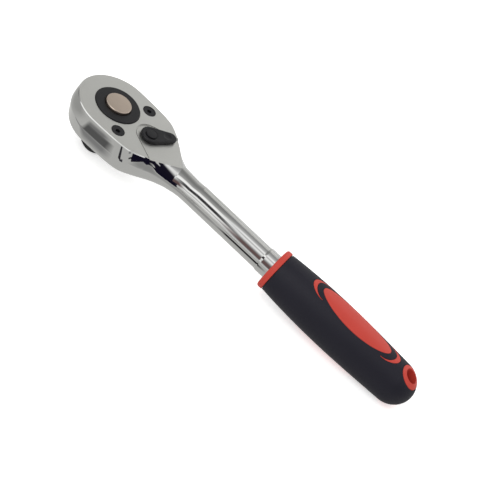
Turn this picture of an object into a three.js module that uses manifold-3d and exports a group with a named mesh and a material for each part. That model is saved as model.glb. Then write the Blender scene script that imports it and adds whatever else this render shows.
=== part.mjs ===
// Socket ratchet: half-inch square drive, reversing lever, quick-release button, two-colour grip.
// Millimetres. The origin is the middle of the square's end face, +Z runs up the drive axis
// to the button, and +X runs along the handle to the grip.

import * as THREE from 'three';
import { mergeVertices } from 'three/addons/utils/BufferGeometryUtils.js';
import Module from 'manifold-3d';

const wasm = await Module();
wasm.setup();

// Overall lengths
const overallLength = 250.9;
const gripLength = 103.6;

// Clearances
const fitGap = 0.3;
const axialPlay = 0.15;
const overcut = 1;

// Square drive
const squareSize = 12.7;
const squareReach = 15.8;
const squareCornerCut = 0.78;
const tipInset = 0.25;
const journalWall = 1.4;
const journalProud = 0.6;

// Socket-holding ball and the button that frees it
const ballRadius = 2;
const ballProud = 0.8;
const ballHeight = 8;
const ballRetraction = 0.9;
const buttonRadius = 7.57;
const buttonProud = 2.3;
const buttonThickness = 3.6;
const buttonEdge = 0.5;
const buttonTravel = 2.5;
const buttonSpringLength = 5.6;
const buttonSpringTurns = 3.5;
const buttonSpringWire = 0.6;
const rodEnd = 0.4;
const rodWaist = 0.8;

// Toothed wheel
const ringRadius = 13.43;
const ringProud = 0.64;
const ringEdge = 0.5;
const toothCount = 72;
const toothDepth = 0.85;
const toothCrown = 1.4;
const toothFlat = 0.16;
const gearThickness = 8.1;
const washerThickness = 0.8;
const washerWidth = 2.6;

// Head
const headWall = 8.55;
const headThickness = 18;
const uprightWall = 10.4;
const wallFlare = 0.5;
const draftInset = 1.3;
const bottomFillet = 1.8;
const topEdge = 0.4;
const shoulderDrop = 3;
const shoulderAhead = 2.5;
const tailAhead = 25.2;
const tailSlope = 48.5;
const tailLead = 9.35;
const shoulderSlope = 30;
const shoulderLeadBack = 9.8;
const shoulderLeadFront = 5.2;
const cheekLead = 12;
const leverStep = 0.5;
const leverStepRadius = 7.9;
const leverStepFlare = 28.5;

// Cover plate and its screws
const coverThickness = 3;
const coverLand = 2.3;
const coverEdge = 1.4;
const screwRadius = 2;
const screwHeadRadius = 3.7;
const screwSocket = 2.5;
const screwSocketDepth = 1.5;
const screwWall = 2.57;
const screwBearing = 51.5;

// Pawl
const pawlRock = 4.5;
const pawlPinRadius = 1.1;
const pawlPinSeat = 1.6;
const pawlWall = 1.05;
const pawlHeight = 7.2;
const pawlEndBearing = 35;
const pawlEndRadius = 1.5;
const pawlHeelRadius = 1.2;
const pawlHeelSpread = 5.6;
const pawlHeelBehind = 3.9;
const pawlPlainBearing = 17;

// Reversing lever
const leverRestBearing = 53;
const hubRadius = 3.3;
const bladeRadius = 5.9;
const bladeTipRadius = 3.6;
const bladeLength = 16.2;
const bladeThickness = 1.5;
const bladeEdge = 0.45;
const bossRadius = 3.3;
const bossProud = 0.4;
const bossMoat = 0.9;
const detentPinRadius = 1.1;
const detentPinReach = 1.3;
const detentPinLength = 3.7;
const detentSpringLength = 2.6;
const detentSpringTurns = 3;
const detentSpringWire = 0.3;
const sealSection = 0.45;
const sealDepth = 2.4;
const retainerThickness = 0.8;
const retainerWidth = 1.7;
const retainerSeat = 0.7;
const retainerOpening = 80;

// Shank and tang
const shankDrop = 8.4;
const shankRadius = 7.3;
const shankCollar = 7.9;
const shankCollarLength = 7.5;
const shankCollarRamp = 1.2;
const flareRadius = 15;
const flareBehindTail = 14.2;
const flareLength = 26;
const flareSweep = 4.3;
const flareLead = 6;
const flareRunOut = 12;
const tangRadius = 6.6;
const tangHalfFlat = 5.2;
const tangEndGap = 7;

// Grip
const collarLength = 3.6;
const collarRadius = 12.9;
const collarEdge = 1.6;
const collarRound = 0.5;
const gripFrontRadius = 12.45;
const gripRearRadius = 12.85;
const gripSwell = 1.66;
const gripSwellLead = 0.85;
const gripDome = 13.5;
const sleeveWall = 2.6;
const eyeFromEnd = 8.5;
const eyeRadius = 6.4;
const hangHoleRadius = 4;
const inlayFrontMargin = 18.5;
const inlayRearMargin = 3.5;
const crescentWidth = 2.9;
const crescentGap = 4;
const crescentReach = 10.2;
const crescentHalfWidth = 6.4;
const crescentTip = 0.5;
const ovalHalfWidth = 7.8;

// Facets
const roundSides = 40;
const smallSides = 20;
const gripSides = 36;
const headSteps = 32;
const noseSteps = 4;
const hexagonSides = 6;
const weldDistance = 1e-4;
const straightness = 1e-6;

const turn = 2 * Math.PI;
const radians = THREE.MathUtils.degToRad;

// Heights along the drive axis
const headBottom = squareReach;
const headTop = headBottom + headThickness;
const coverTop = headBottom + coverThickness;
const washerBottom = coverTop + axialPlay;
const gearBottom = washerBottom + washerThickness + axialPlay;
const gearTop = gearBottom + gearThickness;
const chamberTop = gearTop + fitGap;
const ringTop = headTop + ringProud;
const leverFloor = headTop - leverStep;
const bladeBottom = headTop + axialPlay;
const bladeTop = bladeBottom + bladeThickness;
const shankHeight = headTop - shankDrop;
const pawlBottom = washerBottom + fitGap;
const pawlTop = pawlBottom + pawlHeight;
const detentHeight = (pawlBottom + pawlTop) / 2;
const hubBottom = pawlBottom;
const buttonTop = headTop + buttonProud;
const buttonBottom = buttonTop - buttonThickness;
const buttonFloor = buttonBottom - buttonSpringLength;

// Places and radii of the mechanism
const gearTipRadius = ringRadius + toothCrown;
const chamberRadius = gearTipRadius + fitGap;
const headRadius = chamberRadius + headWall;
const squareCornerRadius = squareSize / Math.SQRT2 - squareCornerCut;
const journalRadius = squareCornerRadius + journalWall;
const ballReach = squareSize / 2 + ballProud - ballRadius;
const rodRadius = ballReach - ballRadius - fitGap;
const rodBottom = ballHeight - ballRadius - rodEnd;
const boreBottom = rodBottom - buttonTravel - fitGap;
const pawlHoleRadius = pawlPinRadius + fitGap;
const pawlPivot = gearTipRadius + fitGap + pawlWall + pawlHoleRadius;
const detentTip = hubRadius + detentPinReach;
const leverRoom = detentTip + fitGap;
const leverX = pawlPivot + pawlHoleRadius + pawlWall + leverRoom;
const screwHoleRadius = screwRadius + fitGap;
const screwPitchRadius = chamberRadius + screwWall + screwHoleRadius;
const screwX = screwPitchRadius * Math.cos(radians(screwBearing));
const screwY = screwPitchRadius * Math.sin(radians(screwBearing));
const shoulderX = leverX + shoulderAhead;
const shoulderY = headRadius - shoulderDrop;
const tailX = leverX + tailAhead;

// Places along the handle
const endX = overallLength - headRadius - wallFlare;
const gripFront = endX - gripLength;
const collarEnd = gripFront + collarLength;
const flareStart = tailX - flareBehindTail;
const eyeX = endX - eyeFromEnd;
const tangEnd = eyeX - eyeRadius - tangEndGap;
const coreRadius = gripFrontRadius - sleeveWall;
const inlayFront = collarEnd + inlayFrontMargin;
const inlayRear = eyeX - eyeRadius - inlayRearMargin;
const ovalFront = inlayFront + crescentWidth + crescentGap;
const ovalRear = inlayRear - crescentWidth - crescentGap;

// Materials, with the colours that the object shows
const material = (color, roughness, metalness) =>
  new THREE.MeshStandardMaterial({ color, roughness, metalness });
const chromePlate = material(0xd6d6d4, 0.12, 1);
const blackOxide = material(0x2a2a2e, 0.45, 0.8);
const satinNickel = material(0xb3a69b, 0.35, 0.9);
const springSteel = material(0x8f9196, 0.3, 1);
const hardRed = material(0xc8453a, 0.45, 0);
const softBlack = material(0x2e2d31, 0.7, 0);

// A closed geometry becomes a solid that can be joined and cut
function solidOf(geometry) {
  geometry.deleteAttribute('normal');
  geometry.deleteAttribute('uv');
  const merged = mergeVertices(geometry, weldDistance);
  const index = merged.index.array;
  const triangles = [];
  for (let i = 0; i < index.length; i += 3) {
    const [a, b, c] = index.subarray(i, i + 3);
    if (a !== b && b !== c && c !== a) triangles.push(a, b, c);
  }
  return new wasm.Manifold(new wasm.Mesh({
    numProp: 3,
    vertProperties: new Float32Array(merged.attributes.position.array),
    triVerts: new Uint32Array(triangles),
  }));
}

function geometryOf(solid) {
  const { vertProperties, triVerts } = solid.getMesh();
  const geometry = new THREE.BufferGeometry();
  geometry.setAttribute('position', new THREE.BufferAttribute(vertProperties, 3));
  geometry.setIndex(new THREE.BufferAttribute(triVerts, 1));
  return geometry;
}

const joined = (first, ...others) => others.reduce((sum, solid) => sum.add(solid), first);
const cut = (first, ...others) => others.reduce((rest, solid) => rest.subtract(solid), first);

// An outline in the XY plane, raised between two heights
function prism(points, bottom, top) {
  const geometry = new THREE.ExtrudeGeometry(new THREE.Shape(points), {
    depth: top - bottom,
    bevelEnabled: false,
  });
  return solidOf(geometry.translate(0, 0, bottom));
}

// A profile of [radius, height] pairs turned about Z
function turned(profile, sides) {
  const points = profile.map(([radius, height]) => new THREE.Vector2(radius, height));
  return solidOf(new THREE.LatheGeometry(points, sides).rotateX(Math.PI / 2));
}

// A profile of [radius, distance] pairs turned about an axis along X, at the shank's height
function turnedAlongHandle(profile, sides) {
  const points = profile.map(([radius, distance]) => new THREE.Vector2(radius, distance));
  const geometry = new THREE.LatheGeometry(points, sides).rotateZ(-Math.PI / 2);
  return solidOf(geometry.translate(0, 0, shankHeight));
}

const cylinder = (radius, bottom, top, sides) =>
  turned([[0, bottom], [radius, bottom], [radius, top], [0, top]], sides);

function box(from, to) {
  const size = to.clone().sub(from);
  const middle = from.clone().add(to).multiplyScalar(0.5);
  const geometry = new THREE.BoxGeometry(size.x, size.y, size.z);
  return solidOf(geometry.translate(middle.x, middle.y, middle.z));
}

// Skin over rings of points, each ring convex and turning left about the way forward
function skinOver(rings) {
  const count = rings[0].length;
  const last = (rings.length - 1) * count;
  const index = [];
  for (let start = 0; start < last; start += count) {
    for (let i = 0; i < count; i += 1) {
      const a = start + i;
      const b = start + ((i + 1) % count);
      index.push(a, b, b + count, a, b + count, a + count);
    }
  }
  for (let i = 1; i < count - 1; i += 1) {
    index.push(0, i + 1, i, last, last + i, last + i + 1);
  }
  const geometry = new THREE.BufferGeometry().setFromPoints(rings.flat());
  geometry.setIndex(index);
  return geometry;
}

function arcPoints(x, y, radius, from, to, steps) {
  return Array.from({ length: steps + 1 }, (_, i) => {
    const angle = from + ((to - from) * i) / steps;
    return new THREE.Vector2(x + radius * Math.cos(angle), y + radius * Math.sin(angle));
  });
}

const circlePoints = (x, y, radius, sides) => arcPoints(x, y, radius, 0, turn, sides).slice(0, -1);

// Outline of a tight band around circles, walked anticlockwise
function bandAround(circles, growth) {
  const points = circles.flatMap(({ x, y, radius }) => circlePoints(x, y, radius + growth, smallSides));
  points.sort((p, q) => p.x - q.x || p.y - q.y);
  const side = (p, q, r) => (q.x - p.x) * (r.y - p.y) - (q.y - p.y) * (r.x - p.x);
  const chain = (list) => {
    const kept = [];
    for (const point of list) {
      while (kept.length > 1 && side(kept.at(-2), kept.at(-1), point) <= straightness) kept.pop();
      kept.push(point);
    }
    return kept.slice(0, -1);
  };
  return [...chain(points), ...chain(points.toReversed())];
}

// Coil spring standing on Z: one unbroken round wire with open ends
function coil(name, meanRadius, wire, turns, bottom, top) {
  const stepsPerTurn = 8;
  const wireSides = 5;
  const steps = Math.round(turns * stepsPerTurn);
  const rise = (top - bottom - wire) / (turns * turn);
  const centres = [];
  const rings = [];
  for (let i = 0; i <= steps; i += 1) {
    const angle = (i * turn) / stepsPerTurn;
    const outward = new THREE.Vector3(Math.cos(angle), Math.sin(angle), 0);
    const forward = new THREE.Vector3(-meanRadius * outward.y, meanRadius * outward.x, rise).normalize();
    const sideways = forward.clone().cross(outward);
    const centre = outward.clone().multiplyScalar(meanRadius).setZ(bottom + wire / 2 + rise * angle);
    const ring = circlePoints(0, 0, wire / 2, wireSides).map(({ x, y }) =>
      centre.clone().addScaledVector(outward, x).addScaledVector(sideways, y));
    centres.push(centre);
    rings.push(ring);
  }
  const gaps = centres.flatMap((p, i) =>
    centres.slice(i + stepsPerTurn / 2).map((q) => p.distanceTo(q) - wire));
  console.log(`${name}: least gap to itself ${Math.min(...gaps).toFixed(2)} mm`);
  return skinOver(rings);
}

// Teeth of the wheel: straight flanks with small flats, one tooth pointing along +X
function toothOutline(growth) {
  const tip = gearTipRadius + growth;
  const root = tip - toothDepth;
  const pitch = turn / toothCount;
  const tipHalf = toothFlat / 2 / tip;
  const rootHalf = toothFlat / 2 / root;
  const corners = [
    [tip, -tipHalf],
    [tip, tipHalf],
    [root, pitch / 2 - rootHalf],
    [root, pitch / 2 + rootHalf],
  ];
  return Array.from({ length: toothCount }, (_, i) => corners.map(([radius, angle]) =>
    new THREE.Vector2(radius, 0).rotateAround(new THREE.Vector2(), i * pitch + angle))).flat();
}

// Egg-shaped plan of the head: round about the drive axis, drawn in to a point at the neck
function headOutline(inset) {
  const radius = headRadius - inset;
  const wayForward = (slope) => new THREE.Vector2(-Math.cos(radians(slope)), Math.sin(radians(slope)));
  const tailWay = wayForward(tailSlope);
  const shoulderWay = wayForward(shoulderSlope);
  const tail = new THREE.Vector2(tailX - inset / tailWay.y, 0);
  const tailOut = tail.clone().addScaledVector(tailWay, tailLead);
  const shoulder = new THREE.Vector2(
    shoulderX - inset * shoulderWay.y,
    shoulderY + inset * shoulderWay.x,
  );
  const shoulderIn = shoulder.clone().addScaledVector(shoulderWay, -shoulderLeadBack);
  const shoulderOut = shoulder.clone().addScaledVector(shoulderWay, shoulderLeadFront);
  const half = new THREE.Path();
  half.moveTo(tail.x, tail.y);
  half.bezierCurveTo(tailOut.x, tailOut.y, shoulderIn.x, shoulderIn.y, shoulder.x, shoulder.y);
  half.bezierCurveTo(shoulderOut.x, shoulderOut.y, cheekLead, radius, 0, radius);
  half.absarc(0, 0, radius, Math.PI / 2, Math.PI, false);
  const upper = half.getSpacedPoints(headSteps);
  const lower = upper.slice(1, -1).reverse().map((point) => new THREE.Vector2(point.x, -point.y));
  return [...upper, ...lower];
}

// Head forging: bevelled top edge, wall flared down to a parting line, drafted lower wall and
// rounded underside
function headBlock() {
  const filletSteps = 3;
  const levels = [];
  for (let i = filletSteps; i >= 0; i -= 1) {
    const angle = (i / filletSteps) * (Math.PI / 2);
    const inset = draftInset + bottomFillet * (1 - Math.cos(angle));
    levels.push([inset, headBottom + bottomFillet * (1 - Math.sin(angle))]);
  }
  levels.push([-wallFlare, headTop - uprightWall], [0, headTop - topEdge], [topEdge, headTop]);
  return solidOf(skinOver(levels.map(([inset, height]) =>
    headOutline(inset).map(({ x, y }) => new THREE.Vector3(x, y, height)))));
}

// Round shank with a trumpet flare into the head and a thicker seat for the collar
function shankBlock() {
  const flareSteps = 9;
  const flare = new THREE.CubicBezierCurve(
    new THREE.Vector2(flareRadius, flareStart),
    new THREE.Vector2(flareRadius - flareSweep, flareStart + flareLead),
    new THREE.Vector2(shankRadius, flareStart + flareLength - flareRunOut),
    new THREE.Vector2(shankRadius, flareStart + flareLength),
  );
  const seatStart = gripFront - shankCollarLength;
  const profile = [
    [0, flareStart],
    ...flare.getPoints(flareSteps).map((point) => [point.x, point.y]),
    [shankRadius, seatStart],
    [shankCollar, seatStart + shankCollarRamp],
    [shankCollar, collarEnd],
    [0, collarEnd],
  ];
  const slab = box(
    new THREE.Vector3(flareStart - overcut, -headRadius, headBottom),
    new THREE.Vector3(collarEnd + overcut, headRadius, leverFloor),
  );
  return turnedAlongHandle(profile, gripSides).intersect(slab);
}

// Tang in the grip, with two flats so that the grip can't turn on it
function tangBlock(growth) {
  const radius = tangRadius + growth;
  const half = Math.asin((tangHalfFlat + growth) / radius);
  const outline = [
    ...arcPoints(0, 0, radius, -half, half, smallSides / 2),
    ...arcPoints(0, 0, radius, Math.PI - half, Math.PI + half, smallSides / 2),
  ];
  const geometry = new THREE.ExtrudeGeometry(new THREE.Shape(outline), {
    depth: tangEnd - collarEnd + overcut + growth,
    bevelEnabled: false,
  });
  return solidOf(geometry.rotateY(Math.PI / 2).translate(collarEnd - overcut, 0, shankHeight));
}

const mirroredPair = (x, y, radius) => [{ x, y, radius }, { x, y: -y, radius }];

const coverCircles = [
  { x: 0, y: 0, radius: chamberRadius + coverLand },
  { x: leverX, y: 0, radius: leverRoom },
  ...mirroredPair(screwX, screwY, screwHoleRadius + coverEdge),
];

const pawlEndReach = gearTipRadius + pawlEndRadius - fitGap;
const pawlCircles = [
  ...mirroredPair(
    pawlEndReach * Math.cos(radians(pawlEndBearing)),
    pawlEndReach * Math.sin(radians(pawlEndBearing)),
    pawlEndRadius,
  ),
  ...mirroredPair(leverX - pawlHeelBehind, pawlHeelSpread, pawlHeelRadius),
];

// Room that the pawl's ends need to rock in
const pawlSwing = pawlEndReach * radians(pawlRock);

// Step in the top of the head that the lever's blade sweeps over
function leverStepOutline() {
  const flare = radians(leverStepFlare);
  const reach = tailAhead + headRadius;
  const from = Math.PI / 2 + flare;
  const arc = arcPoints(leverX, 0, leverStepRadius, from, turn - from, smallSides / 2);
  const along = new THREE.Vector2(Math.cos(flare), Math.sin(flare)).multiplyScalar(reach);
  const start = arc[0].clone().add(along);
  const end = arc.at(-1).clone().add(new THREE.Vector2(along.x, -along.y));
  return [start, ...arc, end];
}

const pawlPinHole = (bottom, top) =>
  cylinder(pawlHoleRadius, bottom, top, smallSides).translate(pawlPivot, 0, 0);

// Screw blank: countersunk head with its top flush with the head
function screwBlank(growth) {
  const head = screwHeadRadius + growth;
  const shank = screwRadius + growth;
  return turned([
    [0, headBottom + axialPlay - growth * 2],
    [shank, headBottom + axialPlay - growth * 2],
    [shank, headTop - axialPlay - (head - shank)],
    [head, headTop - axialPlay],
    [head, headTop - axialPlay + growth * 2],
    [0, headTop - axialPlay + growth * 2],
  ], smallSides);
}

function ratchetBody() {
  const screwHole = screwBlank(fitGap);
  return cut(
    joined(headBlock(), shankBlock(), tangBlock(0)),
    prism(bandAround(coverCircles, fitGap), headBottom - overcut, coverTop + axialPlay),
    cylinder(chamberRadius, headBottom, chamberTop, roundSides),
    prism(bandAround(pawlCircles, pawlSwing + fitGap), headBottom, chamberTop),
    cylinder(leverRoom, headBottom, chamberTop, smallSides).translate(leverX, 0, 0),
    cylinder(ringRadius + fitGap, headBottom, headTop + overcut, roundSides),
    cylinder(hubRadius + fitGap, headBottom, headTop + overcut, smallSides).translate(leverX, 0, 0),
    pawlPinHole(headBottom, chamberTop + pawlPinSeat + fitGap),
    prism(leverStepOutline(), leverFloor, headTop + overcut),
    screwHole.translate(screwX, screwY, 0),
    screwHole.translate(screwX, -screwY, 0),
  );
}

function coverPlate() {
  const screwHole = cylinder(screwHoleRadius, headBottom - overcut, coverTop + overcut, smallSides);
  return cut(
    prism(bandAround(coverCircles, 0), headBottom, coverTop),
    cylinder(journalRadius + fitGap, headBottom - overcut, coverTop + overcut, roundSides),
    pawlPinHole(coverTop - pawlPinSeat - fitGap, coverTop + overcut),
    screwHole.translate(screwX, screwY, 0),
    screwHole.translate(screwX, -screwY, 0),
  );
}

function coverScrew() {
  const hexagon = circlePoints(0, 0, screwSocket / Math.sqrt(3), hexagonSides);
  return cut(screwBlank(0), prism(hexagon, headTop - axialPlay - screwSocketDepth, headTop + overcut));
}

function pawlPin() {
  const bottom = coverTop - pawlPinSeat;
  const top = chamberTop + pawlPinSeat;
  const edge = fitGap;
  return turned([
    [0, bottom],
    [pawlPinRadius - edge, bottom],
    [pawlPinRadius, bottom + edge],
    [pawlPinRadius, top - edge],
    [pawlPinRadius - edge, top],
    [0, top],
  ], smallSides);
}

function thrustWasher() {
  const inner = journalRadius + fitGap;
  const outer = inner + washerWidth;
  const top = washerBottom + washerThickness;
  return cut(
    cylinder(outer, washerBottom, top, roundSides),
    cylinder(inner, washerBottom - overcut, top + overcut, roundSides),
  );
}

// Square with turned corners and a cone turned on its end
function squareDrive() {
  const half = squareSize / 2;
  const top = headBottom - journalProud;
  const tip = half - tipInset;
  const corner = [[half, half], [-half, half], [-half, -half], [half, -half]];
  const square = prism(corner.map(([x, y]) => new THREE.Vector2(x, y)), 0, top + overcut);
  return square.intersect(turned([
    [0, 0],
    [tip, 0],
    [squareCornerRadius, squareCornerRadius - tip],
    [squareCornerRadius, top + overcut],
    [0, top + overcut],
  ], roundSides));
}

// Hole for the ball, drawn in at the mouth so that the ball can't fall out
function ballHole() {
  const face = squareSize / 2;
  const wide = ballRadius + fitGap;
  const lip = Math.sqrt(ballRadius ** 2 - (face - ballReach) ** 2) + fitGap;
  const hole = turned([
    [0, 0],
    [wide, 0],
    [wide, ballReach + fitGap],
    [lip, face],
    [lip, face + overcut],
    [0, face + overcut],
  ], smallSides);
  return hole.rotate(0, 90, 0).translate(0, 0, ballHeight);
}

// Wheel, upper ring, lower journal and square in one piece, bored for the button's rod
function driveGear() {
  const ring = turned([
    [0, gearTop - overcut],
    [ringRadius, gearTop - overcut],
    [ringRadius, ringTop - ringEdge],
    [ringRadius - ringEdge, ringTop],
    [0, ringTop],
  ], roundSides);
  return cut(
    joined(
      prism(toothOutline(0), gearBottom, gearTop),
      ring,
      cylinder(journalRadius, headBottom - journalProud, gearBottom + overcut, roundSides),
      squareDrive(),
    ),
    cylinder(buttonRadius + fitGap, buttonFloor - fitGap, ringTop + overcut, roundSides),
    cylinder(rodRadius + fitGap, boreBottom, buttonFloor, smallSides),
    ballHole(),
  );
}

// Button on its rod, with a waist that comes level with the ball when the button is pushed in
function releaseButton() {
  const waist = ballHeight + buttonTravel;
  const waistRadius = rodRadius - ballRetraction - axialPlay;
  const slopeEnd = buttonTravel - axialPlay;
  return turned([
    [0, rodBottom],
    [rodRadius - fitGap, rodBottom],
    [rodRadius, rodBottom + fitGap],
    [rodRadius, waist - slopeEnd],
    [waistRadius, waist - rodWaist / 2],
    [waistRadius, waist + rodWaist / 2],
    [rodRadius, waist + slopeEnd],
    [rodRadius, buttonBottom],
    [buttonRadius, buttonBottom],
    [buttonRadius, buttonTop - buttonEdge],
    [buttonRadius - buttonEdge, buttonTop],
    [0, buttonTop],
  ], roundSides);
}

const buttonSpringRadius = (rodRadius + buttonRadius) / 2;

const buttonSpring = () => coil(
  'button_spring',
  buttonSpringRadius,
  buttonSpringWire,
  buttonSpringTurns,
  buttonFloor,
  buttonBottom - fitGap,
);

// Thumb lever about its own pivot: blade along +X, detent pin along -X
function reverseLever() {
  const outline = bandAround([
    { x: 0, y: 0, radius: bladeRadius },
    { x: bladeLength - bladeTipRadius, y: 0, radius: bladeTipRadius },
  ], -bladeEdge);
  const blade = new THREE.ExtrudeGeometry(new THREE.Shape(outline), {
    depth: bladeThickness - 2 * bladeEdge,
    bevelThickness: bladeEdge,
    bevelSize: bladeEdge,
    bevelSegments: 2,
  }).translate(0, 0, bladeBottom + bladeEdge);
  const moatFloor = bladeTop - bossProud;
  const bossTop = bladeTop + bossProud;
  const moat = cut(
    cylinder(bossRadius + bossMoat, moatFloor, bossTop, smallSides),
    cylinder(bossRadius, moatFloor - overcut, bossTop + overcut, smallSides),
  );
  const boss = turned([
    [0, bladeBottom + bladeEdge],
    [bossRadius, bladeBottom + bladeEdge],
    [bossRadius, bossTop - fitGap],
    [bossRadius - fitGap, bossTop],
    [0, bossTop],
  ], smallSides);
  return cut(
    joined(cut(solidOf(blade), moat), boss, leverHub()),
    cylinder(detentPinRadius + fitGap, detentBoreEnd, hubRadius + overcut, smallSides)
      .rotate(0, -90, 0)
      .translate(0, 0, detentHeight),
  );
}

const sealMiddle = leverFloor - sealDepth;
const sealRadius = hubRadius + fitGap - axialPlay - sealSection;
const sealGroove = sealRadius - sealSection - axialPlay;
const sealHalf = sealSection + axialPlay;
const retainerTop = chamberTop - axialPlay;
const retainerBottom = retainerTop - retainerThickness;
const retainerGroove = hubRadius - retainerSeat;
const detentBoreEnd = detentTip - detentPinLength - detentSpringLength - 2 * fitGap;

// Hub of the lever, grooved for its seal and for its retaining ring
function leverHub() {
  return turned([
    [0, hubBottom],
    [hubRadius - fitGap, hubBottom],
    [hubRadius, hubBottom + fitGap],
    [hubRadius, retainerBottom - axialPlay],
    [retainerGroove, retainerBottom - axialPlay],
    [retainerGroove, retainerTop],
    [hubRadius, retainerTop],
    [hubRadius, sealMiddle - sealHalf],
    [sealGroove, sealMiddle - sealHalf],
    [sealGroove, sealMiddle + sealHalf],
    [hubRadius, sealMiddle + sealHalf],
    [hubRadius, bladeBottom + bladeEdge],
    [0, bladeBottom + bladeEdge],
  ], smallSides);
}

function leverSealRing() {
  const sectionSides = 6;
  const section = circlePoints(sealRadius, sealMiddle, sealSection, sectionSides);
  section.push(section[0].clone());
  return turned(section.map(({ x, y }) => [x, y]), smallSides);
}

// Open spring ring, its mouth turned away from the pawl
function leverRetainingRing() {
  const inner = retainerGroove + axialPlay;
  const outer = inner + retainerWidth;
  const mouth = radians(retainerOpening / 2);
  const outline = [
    ...arcPoints(0, 0, outer, mouth, turn - mouth, smallSides),
    ...arcPoints(0, 0, inner, turn - mouth, mouth, smallSides),
  ];
  return prism(outline, retainerBottom, retainerTop - axialPlay);
}

// Pin with a round nose, lying along -X in the hub
function leverDetentPin() {
  const tail = detentTip - detentPinLength;
  const shoulder = detentTip - detentPinRadius;
  const nose = arcPoints(0, shoulder, detentPinRadius, 0, Math.PI / 2, noseSteps);
  nose.at(-1).x = 0;
  const profile = [[0, tail], [detentPinRadius, tail], ...nose.map(({ x, y }) => [x, y])];
  return turned(profile, smallSides).rotate(0, -90, 0).translate(0, 0, detentHeight);
}

function leverDetentSpring() {
  const top = detentTip - detentPinLength - fitGap;
  const spring = coil(
    'lever_detent_spring',
    detentPinRadius - detentSpringWire / 2,
    detentSpringWire,
    detentSpringTurns,
    top - detentSpringLength,
    top,
  );
  return spring.rotateY(-Math.PI / 2).translate(0, 0, detentHeight);
}

// Two-ended pawl about its own pin. Its teeth are the spaces between the wheel's teeth, taken
// at each end of its rock, and its heel is hollowed round the lever's detent pin there.
function pawl() {
  const bottom = pawlBottom - overcut;
  const top = pawlTop + overcut;
  const plain = radians(pawlPlainBearing);
  const plainArc = arcPoints(0, 0, gearTipRadius + fitGap, -plain, plain, smallSides / 2);
  const plainOutline = [new THREE.Vector2(), ...plainArc];
  const blank = cut(
    prism(bandAround(pawlCircles, 0), pawlBottom, pawlTop),
    prism(plainOutline, bottom, top),
    pawlPinHole(bottom, top),
  ).translate(-pawlPivot, 0, 0);
  const wheel = prism(toothOutline(fitGap), bottom, top);
  const cutters = [-1, 1].map((end) => {
    const from = end > 0 ? 0 : Math.PI;
    const room = prism(arcPoints(leverX, 0, leverRoom, from, from + Math.PI, smallSides), bottom, top);
    return wheel.add(room).translate(-pawlPivot, 0, 0).rotate(0, 0, -end * pawlRock);
  });
  return cut(blank, ...cutters);
}

// Radius of the grip along the handle: a slow swell, then a domed end
function gripRadiusAt(x) {
  const domeStart = endX - gripDome;
  if (x >= domeStart) {
    const rise = (x - domeStart) / gripDome;
    return gripRearRadius * Math.sqrt(Math.max(0, 1 - rise ** 2));
  }
  const along = (x - collarEnd) / (domeStart - collarEnd);
  const swell = gripSwell * Math.sin(Math.PI * along ** gripSwellLead);
  return gripFrontRadius + (gripRearRadius - gripFrontRadius) * along + swell;
}

function gripOuter(from) {
  const bodySteps = 11;
  const domeSteps = 6;
  const domeStart = endX - gripDome;
  const stations = [];
  for (let i = 0; i < bodySteps; i += 1) stations.push(from + ((domeStart - from) * i) / bodySteps);
  for (let i = 0; i < domeSteps; i += 1) {
    stations.push(domeStart + gripDome * Math.sin((i / domeSteps) * (Math.PI / 2)));
  }
  const skin = stations.map((x) => [gripRadiusAt(x), x]);
  return turnedAlongHandle([[0, from], ...skin, [0, endX]], gripSides);
}

function coreBody(growth) {
  const radius = coreRadius + growth;
  const end = eyeX + growth;
  const tailRadius = radius - eyeRadius / 2;
  return turnedAlongHandle([
    [0, collarEnd - overcut],
    [radius, collarEnd - overcut],
    [radius, end - eyeRadius],
    [tailRadius, end],
    [0, end],
  ], gripSides);
}

// Half-oval band, open towards facing = 1 (to the end of the grip) or -1
function crescent(apex, facing, growth) {
  const tipX = apex + facing * crescentReach;
  const steps = smallSides / 2;
  const quarter = Math.PI / 2;
  const bow = (reach, halfWidth) => arcPoints(0, 0, 1, quarter, 3 * quarter, steps).map(({ x, y }) =>
    new THREE.Vector2(tipX + facing * (reach * x + growth), halfWidth * y));
  const outer = bow(crescentReach + 2 * growth, crescentHalfWidth + growth);
  const inner = bow(crescentReach - crescentWidth, crescentHalfWidth - crescentTip - growth);
  return [...outer, ...inner.reverse()];
}

function oval(growth) {
  const middle = (ovalFront + ovalRear) / 2;
  const halfLength = (ovalRear - ovalFront) / 2 + growth;
  return circlePoints(0, 0, 1, roundSides).map(({ x, y }) =>
    new THREE.Vector2(middle + halfLength * x, (ovalHalfWidth + growth) * y));
}

// Columns through the grip where the red core comes out to the surface
function inlayColumns(growth) {
  const bottom = shankHeight - 2 * gripRearRadius;
  const top = shankHeight + 2 * gripRearRadius;
  const eye = circlePoints(eyeX, 0, eyeRadius + growth, roundSides);
  const crescents = [crescent(inlayFront, 1, growth), crescent(inlayRear, -1, growth)];
  const outlines = [oval(growth), ...crescents, eye];
  return joined(...outlines.map((outline) => prism(outline, bottom, top)));
}

function hangHole() {
  const reach = 2 * gripRearRadius;
  const hole = cylinder(hangHoleRadius, shankHeight - reach, shankHeight + reach, smallSides);
  return hole.translate(eyeX, 0, 0);
}

function gripCore() {
  const collar = turnedAlongHandle([
    [0, gripFront],
    [collarRadius - collarEdge, gripFront],
    [collarRadius - collarRound, gripFront + collarRound],
    [collarRadius, gripFront + collarEdge],
    [collarRadius, collarEnd],
    [0, collarEnd],
  ], gripSides);
  const seat = turnedAlongHandle([
    [0, gripFront - overcut],
    [shankCollar + fitGap, gripFront - overcut],
    [shankCollar + fitGap, collarEnd + fitGap],
    [0, collarEnd + fitGap],
  ], gripSides);
  const inlays = gripOuter(collarEnd).intersect(inlayColumns(0));
  return cut(joined(collar, coreBody(0), inlays), seat, tangBlock(fitGap), hangHole());
}

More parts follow.
